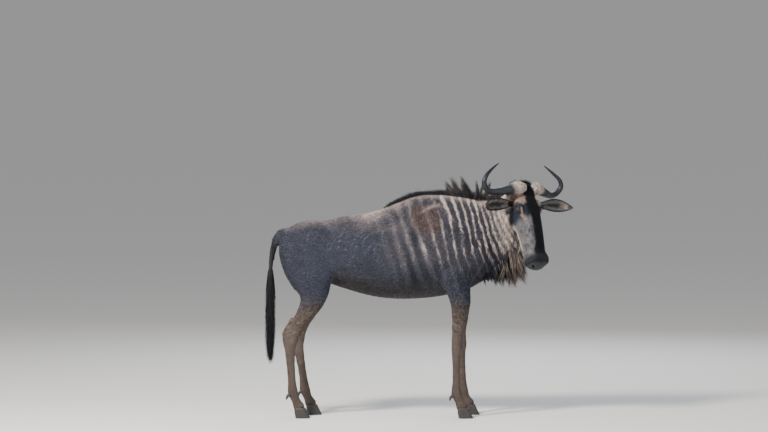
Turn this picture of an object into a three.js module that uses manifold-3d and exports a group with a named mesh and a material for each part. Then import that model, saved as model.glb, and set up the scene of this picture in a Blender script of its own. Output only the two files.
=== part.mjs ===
// A life-size standing blue wildebeest bull with its head turned to its right.
// Millimetres, +X to the animal's chest, +Y to its left, +Z up. The soles stand on z = 0 and the
// origin lies under the middle of the whole model.
import * as THREE from "three";
import { mergeVertices } from "three/addons/utils/BufferGeometryUtils.js";
import Module from "manifold-3d";

const wasm = await Module();
wasm.setup();

// Driving dimensions of the animal.
const WITHERS_HEIGHT = 1400;
const CROUP_HEIGHT = 1243;
const BARREL_WIDTH = 470;
const FACE_PITCH = 66;
const FACE_YAW = 52;
const HEAD_ROLL = 4.3;
const CROWN = [820, -95, 1452];
const CORONET = 64;
const GAP = 0.3;
const SEED = 11;

// Seeded random numbers between two limits, the same on every run.
let seedState = SEED;
function between(low, high) {
  seedState = (seedState * 1664525 + 1013904223) % 4294967296;
  return low + ((high - low) * seedState) / 4294967296;
}

const V = (x, y, z) => new THREE.Vector3(x, y, z);
const radians = THREE.MathUtils.degToRad;
const mix = THREE.MathUtils.lerp;

// Rows of numbers along a limb, turned into many rows on one smooth curve through them.
function smoothRows(rows, steps) {
  const made = [];
  for (let i = 0; i < rows.length - 1; i++) {
    const [a, b, c, d] = [i - 1, i, i + 1, i + 2].map(
      (j) => rows[Math.min(Math.max(j, 0), rows.length - 1)],
    );
    for (let s = 0; s < steps; s++) {
      const t = s / steps;
      made.push(
        b.map((_, k) => {
          const slopeIn = (c[k] - a[k]) / 2;
          const slopeOut = (d[k] - b[k]) / 2;
          const t2 = t * t;
          const t3 = t2 * t;
          return (
            (2 * t3 - 3 * t2 + 1) * b[k] + (t3 - 2 * t2 + t) * slopeIn +
            (3 * t2 - 2 * t3) * c[k] + (t3 - t2) * slopeOut
          );
        }),
      );
    }
  }
  made.push([...rows[rows.length - 1]]);
  return made;
}

// FLESH: every soft form is a set of ellipsoids, and a field says how far a point is outside them.
function ellipsoid(centre, radii, along = V(1, 0, 0), side = V(0, 1, 0)) {
  const t = along.clone().normalize();
  const up = t.clone().cross(side).normalize();
  const s = up.clone().cross(t).normalize();
  return { c: centre, t, s, u: up, r: radii };
}

// A limb runs through rows of x, y, z, half-width and half-depth; its sections are ellipses.
function limb(rows, side = V(0, 1, 0), steps = 8, stretch = 1) {
  const fine = smoothRows(rows, steps);
  return fine.map((row, i) => {
    const before = fine[Math.max(i - 1, 0)];
    const after = fine[Math.min(i + 1, fine.length - 1)];
    const along = V(after[0] - before[0], after[1] - before[1], after[2] - before[2]);
    const [x, y, z, wide, deep] = row;
    return ellipsoid(V(x, y, z), [stretch * Math.min(wide, deep), wide, deep], along, side);
  });
}

function outsideOf(balls, p) {
  let least = Infinity;
  for (const b of balls) {
    const dx = p.x - b.c.x;
    const dy = p.y - b.c.y;
    const dz = p.z - b.c.z;
    const a = (dx * b.t.x + dy * b.t.y + dz * b.t.z) / b.r[0];
    const s = (dx * b.s.x + dy * b.s.y + dz * b.s.z) / b.r[1];
    const u = (dx * b.u.x + dy * b.u.y + dz * b.u.z) / b.r[2];
    const k0 = Math.sqrt(a * a + s * s + u * u);
    const k1 = Math.sqrt((a / b.r[0]) ** 2 + (s / b.r[1]) ** 2 + (u / b.r[2]) ** 2);
    const d = k1 < 1e-9 ? -Math.min(...b.r) : (k0 * (k0 - 1)) / k1;
    if (d < least) least = d;
  }
  return least;
}

// Muscles run into one another over a soft width k.
function fieldOf(masses) {
  return (p) => {
    let d = Infinity;
    for (const { balls, k } of masses) {
      const e = outsideOf(balls, p);
      if (d === Infinity) {
        d = e;
        continue;
      }
      const h = Math.max(k - Math.abs(d - e), 0) / k;
      d = Math.min(d, e) - (h * h * k) / 4;
    }
    return d;
  };
}

// SOLIDS: closed meshes as manifolds.
function solid(vertices, triangles) {
  return new wasm.Manifold(
    new wasm.Mesh({
      numProp: 3,
      vertProperties: new Float32Array(vertices.flatMap((v) => [v.x, v.y, v.z])),
      triVerts: new Uint32Array(triangles.flat()),
    }),
  );
}

function solidFromGeometry(geometry) {
  geometry.deleteAttribute("normal");
  geometry.deleteAttribute("uv");
  const merged = mergeVertices(geometry, 1e-3);
  return new wasm.Manifold(
    new wasm.Mesh({
      numProp: 3,
      vertProperties: merged.attributes.position.array,
      triVerts: new Uint32Array(merged.index.array),
    }),
  );
}

// Rings of equal length, skinned into one closed tube. Each end closes on a pole point.
function skinned(rings, startPole, endPole) {
  const sides = rings[0].length;
  const vertices = [...rings.flat(), startPole, endPole];
  const start = vertices.length - 2;
  const end = vertices.length - 1;
  const triangles = [];
  const last = (rings.length - 1) * sides;
  for (let i = 0; i < sides; i++) {
    const j = (i + 1) % sides;
    triangles.push([start, j, i], [end, last + i, last + j]);
    for (let r = 0; r < rings.length - 1; r++) {
      const a = r * sides;
      const b = a + sides;
      triangles.push([a + i, a + j, b + j], [a + i, b + j, b + i]);
    }
  }
  const made = solid(vertices, triangles);
  if (made.volume() > 0) return made;
  return solid(vertices, triangles.map(([a, b, c]) => [a, c, b]));
}

const centreOf = (ring) =>
  ring.reduce((sum, p) => sum.add(p), V(0, 0, 0)).divideScalar(ring.length);

// The distance from a point inside the flesh to its skin along one direction.
function reach(field, from, direction, grow, step) {
  let near = 0;
  let far = step;
  const at = (t) => field(from.clone().addScaledVector(direction, t)) - grow;
  while (at(far) < 0 && far < 1500) {
    near = far;
    far += step;
  }
  for (let i = 0; i < 12; i++) {
    const middle = (near + far) / 2;
    if (at(middle) < 0) near = middle;
    else far = middle;
  }
  return (near + far) / 2;
}

// One ring of skin points round a spine point, in the plane across the spine.
function skinRing(field, centre, along, side, sides, grow = 0, step = 6) {
  const up = along.clone().cross(side).normalize();
  const across = up.clone().cross(along).normalize();
  return Array.from({ length: sides }, (_, i) => {
    const angle = (2 * Math.PI * (i + 0.5)) / sides;
    const direction = across
      .clone()
      .multiplyScalar(Math.cos(angle))
      .addScaledVector(up, Math.sin(angle));
    return centre.clone().addScaledVector(direction, reach(field, centre, direction, grow, step));
  });
}

// A tube of skin along a spine. An open end is flat; a closed one is rounded by its pole.
function skinTube(field, spine, side, sides, { grow = 0, step = 6, roundStart, roundEnd } = {}) {
  const along = spine.map((_, i) =>
    spine[Math.min(i + 1, spine.length - 1)].clone().sub(spine[Math.max(i - 1, 0)]).normalize(),
  );
  const rings = spine.map((c, i) => skinRing(field, c, along[i], side, sides, grow, step));
  const pole = (i, sign) => {
    const direction = along[i].clone().multiplyScalar(sign);
    return spine[i].clone().addScaledVector(direction, reach(field, spine[i], direction, grow, step));
  };
  const last = spine.length - 1;
  return skinned(
    rings,
    roundStart ? pole(0, -1) : centreOf(rings[0]),
    roundEnd ? pole(last, 1) : centreOf(rings[last]),
  );
}

// A solid of elliptic sections along rows of x, y, z, half-width and half-depth, to a point.
function spindle(rows, side, sides) {
  const points = rows.map((r) => V(r[0], r[1], r[2]));
  const last = rows.length - 1;
  const rings = points.slice(0, last).map((c, i) => {
    const along = points[i + 1].clone().sub(points[Math.max(i - 1, 0)]).normalize();
    const up = along.clone().cross(side).normalize();
    const across = up.clone().cross(along).normalize();
    return Array.from({ length: sides }, (_, n) => {
      const angle = (2 * Math.PI * n) / sides;
      return c
        .clone()
        .addScaledVector(across, rows[i][3] * Math.cos(angle))
        .addScaledVector(up, rows[i][4] * Math.sin(angle));
    });
  });
  return skinned(rings, points[0], points[last]);
}

// Slivers where two skins nearly touch are thinned away before the largest surface is kept.
const SLIVER = 0.05;
function largest(made) {
  const biggest = (pieces) => pieces.reduce((a, b) => (b.volume() > a.volume() ? b : a));
  return biggest(biggest(made.decompose()).simplify(SLIVER).decompose());
}

const joined = (pieces) => pieces.reduce((a, b) => a.add(b));

// HEAD FRAME: d runs from the crown to the nose, l to the animal's left, n out of the forehead.
const yaw = radians(FACE_YAW);
const pitch = radians(FACE_PITCH);
const roll = radians(HEAD_ROLL);
const ahead = V(Math.cos(yaw), -Math.sin(yaw), 0);
const levelLeft = V(Math.sin(yaw), Math.cos(yaw), 0);
const headLeft = levelLeft.clone().applyAxisAngle(ahead, -roll);
const headUp = ahead.clone().cross(headLeft).normalize();
const noseward = ahead
  .clone()
  .multiplyScalar(Math.cos(pitch))
  .addScaledVector(headUp, -Math.sin(pitch));
const browward = ahead
  .clone()
  .multiplyScalar(Math.sin(pitch))
  .addScaledVector(headUp, Math.cos(pitch));
const crown = V(...CROWN);
const headPlace = new THREE.Matrix4()
  .makeBasis(noseward, headLeft, browward)
  .setPosition(crown);
const headBack = headPlace.clone().invert();

function placedOnHead(made) {
  return made.transform(headPlace.toArray());
}

// Points given level with the head, as left, ahead and up of the crown, for the horns and ears.
function besideCrown(left, forward, up) {
  return crown
    .clone()
    .addScaledVector(headLeft, left)
    .addScaledVector(ahead, forward)
    .addScaledVector(headUp, up);
}

// TRUNK: barrel, withers ridge, shoulders, haunches and neck.
const barrelHalf = BARREL_WIDTH / 2;
const sideways = V(0, 1, 0);
const barrel = limb(
  [
    [-650, 0, 1095, 70, 85],
    [-560, 0, CROUP_HEIGHT - 172, 135, 158],
    [-420, 0, CROUP_HEIGHT - 200, 180, 190],
    [-240, 0, 1018, barrelHalf - 18, 228],
    [-60, 0, 1000, barrelHalf, 255],
    [120, 0, 1002, barrelHalf - 6, 262],
    [290, 0, 1012, barrelHalf - 36, 250],
    [420, 0, 1030, 160, 215],
    [510, 0, 1040, 120, 165],
  ],
  sideways,
  6,
);
const withers = limb(
  [
    [-300, 0, 1158, 58, 62],
    [-130, 0, 1180, 68, 74],
    [30, 0, 1240, 74, 100],
    [170, 0, WITHERS_HEIGHT - 116, 76, 110],
    [300, 0, WITHERS_HEIGHT - 118, 72, 108],
    [420, 0, 1262, 66, 104],
  ],
  sideways,
);
const shoulderBlade = (hand) =>
  limb(
    [
      [215, 95 * hand, 1270, 30, 70],
      [290, 135 * hand, 1160, 45, 92],
      [370, 155 * hand, 1045, 52, 98],
      [430, 150 * hand, 955, 50, 92],
    ],
    V(0, 1, 0),
  );
const upperArm = (hand) =>
  limb(
    [
      [480, 125 * hand, 1000, 45, 60],
      [430, 145 * hand, 920, 50, 72],
      [378, 148 * hand, 855, 44, 68],
      [388, 148 * hand, 800, 20, 34],
    ],
    V(0, 1, 0),
  );
const haunch = (hand) =>
  limb(
    [
      [-500, 85 * hand, 1145, 70, 85],
      [-545, 112 * hand, 1050, 82, 135],
      [-540, 130 * hand, 955, 78, 148],
      [-520, 138 * hand, 870, 60, 112],
      [-514, 140 * hand, 790, 28, 58],
    ],
    V(0, 1, 0),
  );
const buttock = (hand) =>
  limb(
    [
      [-655, 62 * hand, 1120, 42, 52],
      [-672, 78 * hand, 1040, 52, 52],
      [-645, 98 * hand, 945, 50, 52],
      [-598, 116 * hand, 860, 36, 42],
    ],
    V(0, 1, 0),
  );
const neckRows = [
  [330, 0, 1140, 120, 215],
  [450, 0, 1150, 112, 205],
  [560, -4, 1180, 96, 188],
  [650, -10, 1224, 80, 156],
  [710, -16, 1278, 70, 116],
  [748, -22, 1330, 64, 92],
  [776, -42, 1360, 56, 70],
];
const neckFlesh = limb(neckRows, V(0.1, 1, 0).normalize(), 6);
const dewlap = limb(
  [
    [440, 0, 925, 64, 90],
    [560, -4, 985, 52, 84],
    [660, -14, 1036, 44, 90],
    [716, -24, 1098, 38, 84],
  ],
  V(0.22, 1, 0).normalize(),
);
const trunkMasses = [
  { balls: barrel, k: 0 },
  { balls: withers, k: 110 },
  { balls: neckFlesh, k: 70 },
  { balls: dewlap, k: 60 },
  ...[-1, 1].flatMap((hand) => [
    { balls: shoulderBlade(hand), k: 55 },
    { balls: upperArm(hand), k: 50 },
    { balls: haunch(hand), k: 55 },
    { balls: buttock(hand), k: 45 },
  ]),
];
const trunkField = fieldOf(trunkMasses);

// The spine that the rings of skin sit on, from the rump to inside the head.
const NECK_CUT = 452;
const trunkSpine = smoothRows(
  [
    [-738, 0, 1092],
    [-722, 0, 1092],
    [-700, 0, 1092],
    [-600, 0, 1070],
    [-400, 0, 1045],
    [-100, 0, 1025],
    [200, 0, 1045],
    [380, 0, 1085],
    [520, 0, 1150],
    [630, -8, 1208],
    [710, -16, 1275],
    [748, -22, 1330],
    [774, -40, 1358],
  ],
  3,
).map((p) => V(...p));
const TRUNK_SIDES = 28;

function spineAt(x) {
  const i = Math.max(trunkSpine.findIndex((p) => p.x >= x), 1);
  const t = (x - trunkSpine[i - 1].x) / (trunkSpine[i].x - trunkSpine[i - 1].x);
  return trunkSpine[i - 1].clone().lerp(trunkSpine[i], t);
}

// Torso and neck meet on one flat face that leans with the neck.
const NECK_LEAN = 0.42;
const acrossNeck = V(Math.cos(NECK_LEAN), 0, Math.sin(NECK_LEAN));
const neckFace = spineAt(NECK_CUT).dot(acrossNeck);
const behindNeckFace = (made) =>
  made.trimByPlane(acrossNeck.clone().negate().toArray(), 1 - neckFace);
const aheadOfNeckFace = (made) => made.trimByPlane(acrossNeck.toArray(), neckFace + 1 + GAP);

function trunkPart(from, to, grow, roundStart, sides = TRUNK_SIDES) {
  const clear = 36;
  const spine = trunkSpine.filter(
    (p) => (roundStart || p.x > from + clear) && (to > 700 || p.x < to - clear),
  );
  if (!roundStart) spine.unshift(spineAt(from));
  if (to < 700) spine.push(spineAt(to));
  const along = spine.map((_, i) =>
    spine[Math.min(i + 1, spine.length - 1)].clone().sub(spine[Math.max(i - 1, 0)]).normalize(),
  );
  if (!roundStart) along[0] = acrossNeck;
  if (to < 700) along[along.length - 1] = acrossNeck;
  const rings = spine.map((c, i) => skinRing(trunkField, c, along[i], sideways, sides, grow));
  const first = roundStart
    ? spine[0]
        .clone()
        .addScaledVector(along[0], -reach(trunkField, spine[0], along[0].clone().negate(), grow, 6))
    : centreOf(rings[0]);
  return skinned(rings, first, centreOf(rings[rings.length - 1]));
}

// LEGS: rows of x, y, z, half-width across and half-depth fore and aft, from the body down.
const foreRows = [
  [398, 148, 940, 36, 54],
  [384, 150, 870, 50, 76],
  [394, 147, 800, 52, 74],
  [405, 141, 720, 46, 62],
  [402, 137, 640, 38, 50],
  [390, 132, 540, 30, 36],
  [386, 130, 480, 32, 35],
  [385, 130, 440, 33, 35],
  [381, 130, 395, 26, 29],
  [380, 130, 320, 20, 24],
  [380, 130, 230, 20, 24],
  [380, 130, 180, 25, 29],
  [383, 130, 150, 28, 32],
  [399, 130, 108, 24, 27],
  [416, 130, CORONET + 8, 31, 36],
  [424, 130, CORONET - 20, 36, 44],
];
const hindRows = [
  [-530, 132, 950, 40, 74],
  [-520, 139, 880, 60, 112],
  [-506, 141, 800, 58, 96],
  [-524, 136, 720, 48, 72],
  [-560, 131, 655, 40, 55],
  [-606, 125, 580, 31, 42],
  [-640, 122, 520, 29, 44],
  [-652, 120, 480, 32, 44],
  [-656, 120, 430, 28, 34],
  [-652, 120, 340, 21, 27],
  [-645, 120, 240, 20, 25],
  [-641, 120, 190, 25, 29],
  [-636, 120, 155, 28, 32],
  [-619, 120, 110, 24, 27],
  [-601, 120, CORONET + 8, 30, 35],
  [-593, 120, CORONET - 20, 35, 43],
];
const HOCK_POINT = [-688, 122, 528];
const KNEE_CUT = 432;
const HOCK_CUT = 440;

// The four legs stand a little out of step with one another.
const legs = {
  fore_left: { rows: foreRows, hand: 1, shift: 45, cut: KNEE_CUT },
  fore_right: { rows: foreRows, hand: -1, shift: 0, cut: KNEE_CUT },
  hind_left: { rows: hindRows, hand: 1, shift: 70, cut: HOCK_CUT },
  hind_right: { rows: hindRows, hand: -1, shift: 0, cut: HOCK_CUT },
};

// A leg's foot swings by its shift while its top stays in the body.
function legRows({ rows, hand, shift }) {
  return rows.map(([x, y, z, wide, deep]) => {
    const swing = shift * THREE.MathUtils.smoothstep(900 - z, 0, 760);
    return [x + swing, y * hand, z, wide, deep];
  });
}

const dewClaws = (rows) => {
  const fetlock = rows[rows.length - 4];
  return [-1, 1].map((side) =>
    spindle(
      [
        [fetlock[0] - 14, fetlock[1] + 13 * side, fetlock[2] - 2, 11, 9],
        [fetlock[0] - 30, fetlock[1] + 16 * side, fetlock[2] - 12, 11, 9],
        [fetlock[0] - 40, fetlock[1] + 18 * side, fetlock[2] - 28, 8, 7],
        [fetlock[0] - 42, fetlock[1] + 19 * side, fetlock[2] - 40, 4, 4],
      ],
      sideways,
      6,
    ),
  );
};

function legSolids(leg, body) {
  const rows = legRows(leg);
  const masses = [{ balls: limb(rows, sideways, 6), k: 0 }];
  if (leg.rows === hindRows) {
    const [x, y, z] = HOCK_POINT;
    const swing = leg.shift * THREE.MathUtils.smoothstep(900 - z, 0, 760);
    masses.push({
      balls: limb(
        [
          [x + swing + 45, y * leg.hand, z + 90, 10, 12],
          [x + swing + 8, y * leg.hand, z + 20, 13, 14],
          [x + swing + 2, y * leg.hand, z - 12, 18, 17],
          [x + swing + 22, y * leg.hand, z - 70, 17, 18],
        ],
        sideways,
      ),
      k: 26,
    });
  }
  const field = fieldOf(masses);
  const spine = rows.map((r) => V(r[0], r[1], r[2]));
  const level = (z) => {
    const i = spine.findIndex((p) => p.z <= z);
    const t = (spine[i - 1].z - z) / (spine[i - 1].z - spine[i].z);
    return spine[i - 1].clone().lerp(spine[i], t);
  };
  const down = V(0, 0, -1);
  const tube = (top, bottom, flatTop, sides) => {
    const inner = spine.filter((p) => p.z < top - 8 && p.z > bottom + 8);
    const line = [flatTop ? level(top) : spine[0], ...inner, level(bottom)];
    const along = line.map((_, i) =>
      line[Math.min(i + 1, line.length - 1)].clone().sub(line[Math.max(i - 1, 0)]).normalize(),
    );
    if (flatTop) along[0] = down;
    along[along.length - 1] = down;
    const rings = line.map((c, i) => skinRing(field, c, along[i], sideways, sides, 0, 4));
    return skinned(rings, centreOf(rings[0]), centreOf(rings[rings.length - 1]));
  };
  const upper = largest(tube(rows[0][2] - 8, leg.cut, false, 14).subtract(body));
  const lower = largest(joined([tube(leg.cut - GAP, CORONET, true, 12), ...dewClaws(rows)]));
  return { upper, lower, rows };
}

// CLAWS: each foot has two, flat below, with the toe rounded and the wall sloping.
const CLAW_LENGTH = 98;
const CLAW_WIDTH = 37;
const CLAW_SPLIT = 4;

function claw(rows, side) {
  const [x, y] = rows[rows.length - 2];
  const outline = (scale, width, toe, heel) =>
    Array.from({ length: 12 }, (_, i) => {
      const angle = (2 * Math.PI * i) / 12;
      const c = Math.cos(angle);
      const s = Math.sin(angle);
      const long = c > 0 ? toe * c : heel * c;
      const inner = Math.max(-1, Math.min(1, s * 1.25)) * side;
      const bulge = side * s > 0 ? 1 : 0.86;
      return [long * scale, (inner * width * bulge) / 2];
    });
  const heights = [0, 4, 30, CORONET - GAP];
  const lean = [20, 19, 10, 2];
  const rings = heights.map((z, i) => {
    const grow = [1, 1.02, 0.93, 0.8][i];
    const across = y + side * (CLAW_SPLIT / 2 + (CLAW_WIDTH * grow) / 2);
    return outline(1, CLAW_WIDTH * grow, (CLAW_LENGTH / 2) * grow, (CLAW_LENGTH / 2.5) * grow).map(
      ([a, b]) => V(x + lean[i] + a, across + b, z),
    );
  });
  return skinned(rings, V(x + lean[0], centreOf(rings[0]).y, 0), centreOf(rings[3]));
}

// HEAD: built in its own frame, then placed.
const headSide = V(0, 1, 0);
const mirrored = (make) => [-1, 1].map(make);
const FACE_LENGTH = 520;
const headMasses = [
  {
    balls: limb(
      [
        [30, 0, -88, 78, 70],
        [90, 0, -80, 88, 90],
        [150, 0, -74, 86, 98],
        [220, 0, -66, 76, 94],
        [300, 0, -62, 66, 86],
        [380, 0, -62, 60, 76],
        [440, 0, -66, 63, 66],
        [FACE_LENGTH - 38, 0, -72, 66, 56],
      ],
      headSide,
    ),
    k: 0,
  },
  { balls: [ellipsoid(V(18, 0, -40), [54, 62, 40])], k: 40 },
  ...mirrored((hand) => ({ balls: [ellipsoid(V(18, 44 * hand, -30), [42, 38, 30])], k: 24 })),
  ...mirrored((hand) => ({
    balls: [ellipsoid(V(132, 75 * hand, -27), [46, 26, 28])],
    k: 20,
  })),
  ...mirrored((hand) => ({
    balls: limb(
      [
        [108, 68 * hand, -108, 20, 52],
        [170, 62 * hand, -116, 20, 54],
        [235, 50 * hand, -108, 16, 42],
      ],
      headSide,
    ),
    k: 30,
  })),
  ...mirrored((hand) => ({
    balls: limb(
      [
        [168, 85 * hand, -56, 9, 10],
        [235, 70 * hand, -60, 8, 9],
        [300, 57 * hand, -64, 6, 7],
      ],
      headSide,
    ),
    k: 22,
  })),
  {
    balls: limb(
      [
        [120, 0, -142, 50, 36],
        [210, 0, -136, 46, 34],
        [310, 0, -124, 41, 30],
        [400, 0, -116, 44, 28],
        [FACE_LENGTH - 42, 0, -112, 48, 26],
      ],
      headSide,
    ),
    k: 26,
  },
  ...mirrored((hand) => ({
    balls: [ellipsoid(V(FACE_LENGTH - 44, 42 * hand, -36), [38, 27, 26])],
    k: 26,
  })),
  { balls: [ellipsoid(V(FACE_LENGTH - 34, 0, -82), [34, 64, 30])], k: 24 },
];
const headField = fieldOf(headMasses);
const HEAD_SIDES = 30;

function headTube(grow) {
  const stations = [];
  for (let d = -14; d < FACE_LENGTH - 70; d += d < 100 || d > 180 ? 20 : 14) stations.push(d);
  const nose = FACE_LENGTH - 70;
  for (const share of [0, 0.3, 0.56, 0.76, 0.92]) stations.push(nose + 62 * share);
  const middle = (d) => mix(-80, -66, THREE.MathUtils.smoothstep(d, 60, 330));
  return skinTube(
    headField,
    stations.map((d) => V(d, 0, middle(d))),
    headSide,
    HEAD_SIDES,
    { grow, step: 3, roundStart: true, roundEnd: true },
  );
}

// EYES: balls in sockets, held by an upper and a lower lid.
const EYE_RADIUS = 19;
const EYE = [138, 84, -29];
const LID = 3.6;

function eyeCentre(hand) {
  return V(EYE[0], EYE[1] * hand, EYE[2]);
}

function lids(hand) {
  const centre = eyeCentre(hand);
  const gaze = V(0.3, hand, 0.24).normalize();
  const along = V(1, 0, 0).addScaledVector(gaze, -gaze.x).normalize();
  const up = V(0, 0, 1).addScaledVector(gaze, -gaze.z).addScaledVector(along, -along.z).normalize();
  const arc = (open) =>
    Array.from({ length: 7 }, (_, i) => {
      const angle = Math.PI * (i / 6);
      const p = centre
        .clone()
        .addScaledVector(along, 18.5 * Math.cos(angle))
        .addScaledVector(up, open * Math.sin(angle));
      const outward = Math.sqrt(Math.max(EYE_RADIUS ** 2 - p.distanceToSquared(centre), 9));
      p.addScaledVector(gaze, outward + 1);
      return [p.x, p.y, p.z, LID, LID];
    });
  return [12, -10].map((open) => spindle(arc(open), gaze, 5));
}

// NOSTRILS and MOUTH: cut into the muzzle.
function nostril(hand) {
  return spindle(
    smoothRows(
      [
        [FACE_LENGTH - 14, 20 * hand, -66, 3, 4],
        [FACE_LENGTH - 6, 32 * hand, -52, 9, 12],
        [FACE_LENGTH - 12, 47 * hand, -36, 9, 12],
        [FACE_LENGTH - 30, 60 * hand, -22, 6, 7],
        [FACE_LENGTH - 46, 66 * hand, -14, 1, 1],
      ],
      2,
    ),
    V(0, hand, 1).normalize(),
    8,
  );
}

function mouthLine() {
  const level = -100;
  const corner = FACE_LENGTH - 128;
  const points = [];
  for (let i = 0; i <= 16; i++) {
    const angle = mix(-1, 1, i / 16);
    const from = V(mix(FACE_LENGTH - 60, corner, Math.abs(angle) ** 2), 0, level + 8 * angle ** 2);
    const direction = V(Math.cos((angle * Math.PI) / 2), Math.sin((angle * Math.PI) / 2), 0);
    const p = from.clone().addScaledVector(direction, reach(headField, from, direction, 0, 3));
    points.push([p.x, p.y, p.z, 3.2, 5]);
  }
  points.unshift([points[0][0] - 16, points[0][1] + 2, points[0][2] + 5, 1, 1]);
  points.push([points.at(-1)[0] - 16, points.at(-1)[1] - 2, points.at(-1)[2] + 5, 1, 1]);
  return spindle(points, V(0, 0, 1), 5);
}

// HORNS: rows of left, ahead and up of the crown, and two half-sizes.
const hornRows = [
  [16, -4, -30, 26, 18],
  [40, -2, -20, 44, 35],
  [70, -2, -17, 48, 39],
  [100, -4, -22, 42, 35],
  [135, -10, -33, 34, 29],
  [190, -30, -47, 27, 24],
  [245, -46, -52, 22, 21],
  [288, -47, -34, 18.5, 18],
  [311, -40, 4, 15.5, 15.5],
  [296, -41, 46, 12.5, 12.5],
  [248, -54, 86, 9, 9],
  [188, -64, 126, 3.5, 3.5],
];
const HORN_SIDES = 10;

function horn(hand, grow = 0) {
  const rows = smoothRows(hornRows, 2).map(([left, forward, up, across, tall]) => {
    const p = besideCrown(left * hand, forward, up);
    return [p.x, p.y, p.z, across + grow, tall + grow];
  });
  const tip = rows.at(-1);
  const from = rows.at(-2);
  rows.push([0, 1, 2].map((k) => tip[k] + 0.4 * (tip[k] - from[k])).concat([1, 1]));
  return spindle(rows, ahead.clone(), HORN_SIDES);
}

// EARS: a leaf-shaped cup, open to the front. Rows of share of the length, width and wrap angle.
const EAR_LENGTH = 262;
const EAR_WALL = 4;
const EAR_ROOT = [96, -14, -121];
const EAR_FORWARD = 0.24;
const EAR_LIFT = { left: -0.01, right: -0.1 };
const earRows = [
  [0, 40, 2.4],
  [0.14, 44, 2.1],
  [0.28, 62, 1.6],
  [0.42, 78, 1.3],
  [0.58, 82, 1.1],
  [0.74, 72, 0.95],
  [0.88, 48, 0.8],
  [0.97, 22, 0.7],
  [1, 8, 0.6],
];

function ear(hand, grow = 0) {
  const root = besideCrown(EAR_ROOT[0] * hand, EAR_ROOT[1], EAR_ROOT[2]);
  const out = headLeft
    .clone()
    .multiplyScalar(hand)
    .addScaledVector(ahead, EAR_FORWARD)
    .addScaledVector(headUp, hand > 0 ? EAR_LIFT.left : EAR_LIFT.right)
    .normalize();
  const face = ahead.clone().addScaledVector(out, -ahead.dot(out)).normalize();
  const tall = out.clone().cross(face).normalize();
  const columns = 8;
  const rings = earRows.map(([t, width, wrap], j) => {
    const radius = width / 2 / Math.sin(Math.min(wrap, Math.PI / 2));
    const end = j === 0 ? -grow : j === earRows.length - 1 ? grow : 0;
    const centre = root.clone().addScaledVector(out, EAR_LENGTH * t + end);
    centre.addScaledVector(tall, -8 * hand * Math.sin(Math.PI * t));
    const arc = (r) =>
      Array.from({ length: columns }, (_, i) => {
        const angle = mix(-wrap, wrap, i / (columns - 1));
        return centre
          .clone()
          .addScaledVector(tall, r * Math.sin(angle))
          .addScaledVector(face, -r * Math.cos(angle));
      });
    const inner = Math.max(radius - EAR_WALL, radius * 0.4);
    return [...arc(radius + grow), ...arc(inner - grow).reverse()];
  });
  return cupShell(rings, columns);
}

// A shell whose rings run out along the outside and back along the inside.
function cupShell(rings, columns) {
  const around = rings[0].length;
  const vertices = rings.flat();
  const triangles = [];
  for (let r = 0; r < rings.length - 1; r++) {
    for (let i = 0; i < around; i++) {
      const a = r * around + i;
      const b = r * around + ((i + 1) % around);
      triangles.push([a, b, b + around], [a, b + around, a + around]);
    }
  }
  for (let i = 0; i < columns - 1; i++) {
    const outer = i;
    const inner = around - 1 - i;
    const far = (rings.length - 1) * around;
    triangles.push([outer, inner, inner - 1], [outer, inner - 1, outer + 1]);
    triangles.push(
      [far + outer, far + inner - 1, far + inner],
      [far + outer, far + outer + 1, far + inner - 1],
    );
  }
  const made = solid(vertices, triangles);
  if (made.volume() > 0) return made;
  return solid(vertices, triangles.map(([a, b, c]) => [a, c, b]));
}

// TAIL
const tailRows = [
  [-650, 0, 1140, 30, 34],
  [-705, 0, 1146, 30, 32],
  [-746, 0, 1096, 26, 27],
  [-768, 0, 1030, 22, 22],
  [-778, 0, 940, 18, 18],
  [-780, 0, 840, 15, 15],
  [-778, 0, 760, 12, 12],
];

// LOCKS: flat tapered blades of hair with a diamond section, bent over towards their tips.
const LOCK_SHARES = [-0.1, 0.25, 0.58, 0.84];
const LOCK_BROAD = [0.75, 1, 0.85, 0.5];
const LOCK_ROOT = 10;

function lock(root, lie, { length, width, thick, side, bend = V(0, 0, 0) }) {
  const along = lie.clone().normalize();
  const at = (t) =>
    root
      .clone()
      .addScaledVector(along, length * t)
      .addScaledVector(bend, length * t * Math.abs(t));
  const rows = LOCK_SHARES.map((t, i) => {
    const p = at(t);
    return [p.x, p.y, p.z, (LOCK_BROAD[i] * width) / 2, (LOCK_BROAD[i] * thick) / 2];
  });
  const tip = at(1);
  return spindle([...rows, [tip.x, tip.y, tip.z, 1, 1]], side, 4);
}

// The skin of the trunk above or below its spine, turned aside by an angle.
function trunkSkin(x, upward, aside = 0) {
  const from = spineAt(x);
  const direction = V(0, Math.sin(aside), upward * Math.cos(aside));
  return from.addScaledVector(direction, reach(trunkField, from, direction, 0, 6) - LOCK_ROOT);
}

// A row's numbers at a place along it, where the first number is the place.
function rowAt(rows, x) {
  const i = Math.min(Math.max(rows.findIndex((r) => r[0] >= x), 1), rows.length - 1);
  const t = (x - rows[i - 1][0]) / (rows[i][0] - rows[i - 1][0]);
  return rows[i].map((value, k) => mix(rows[i - 1][k], value, t));
}

// The crest: rows of x, a lock's length, its lean towards the head, and the way to the next one.
const crestRows = [
  [-110, 52, -3, 38],
  [120, 64, -2.4, 36],
  [300, 78, -1.5, 30],
  [350, 118, -0.3, 17],
  [420, 150, -0.6, 17],
  [480, 155, -0.15, 18],
  [550, 135, 0.3, 18],
  [600, 80, -0.2, 22],
  [735, 52, -0.7, 26],
];

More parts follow.
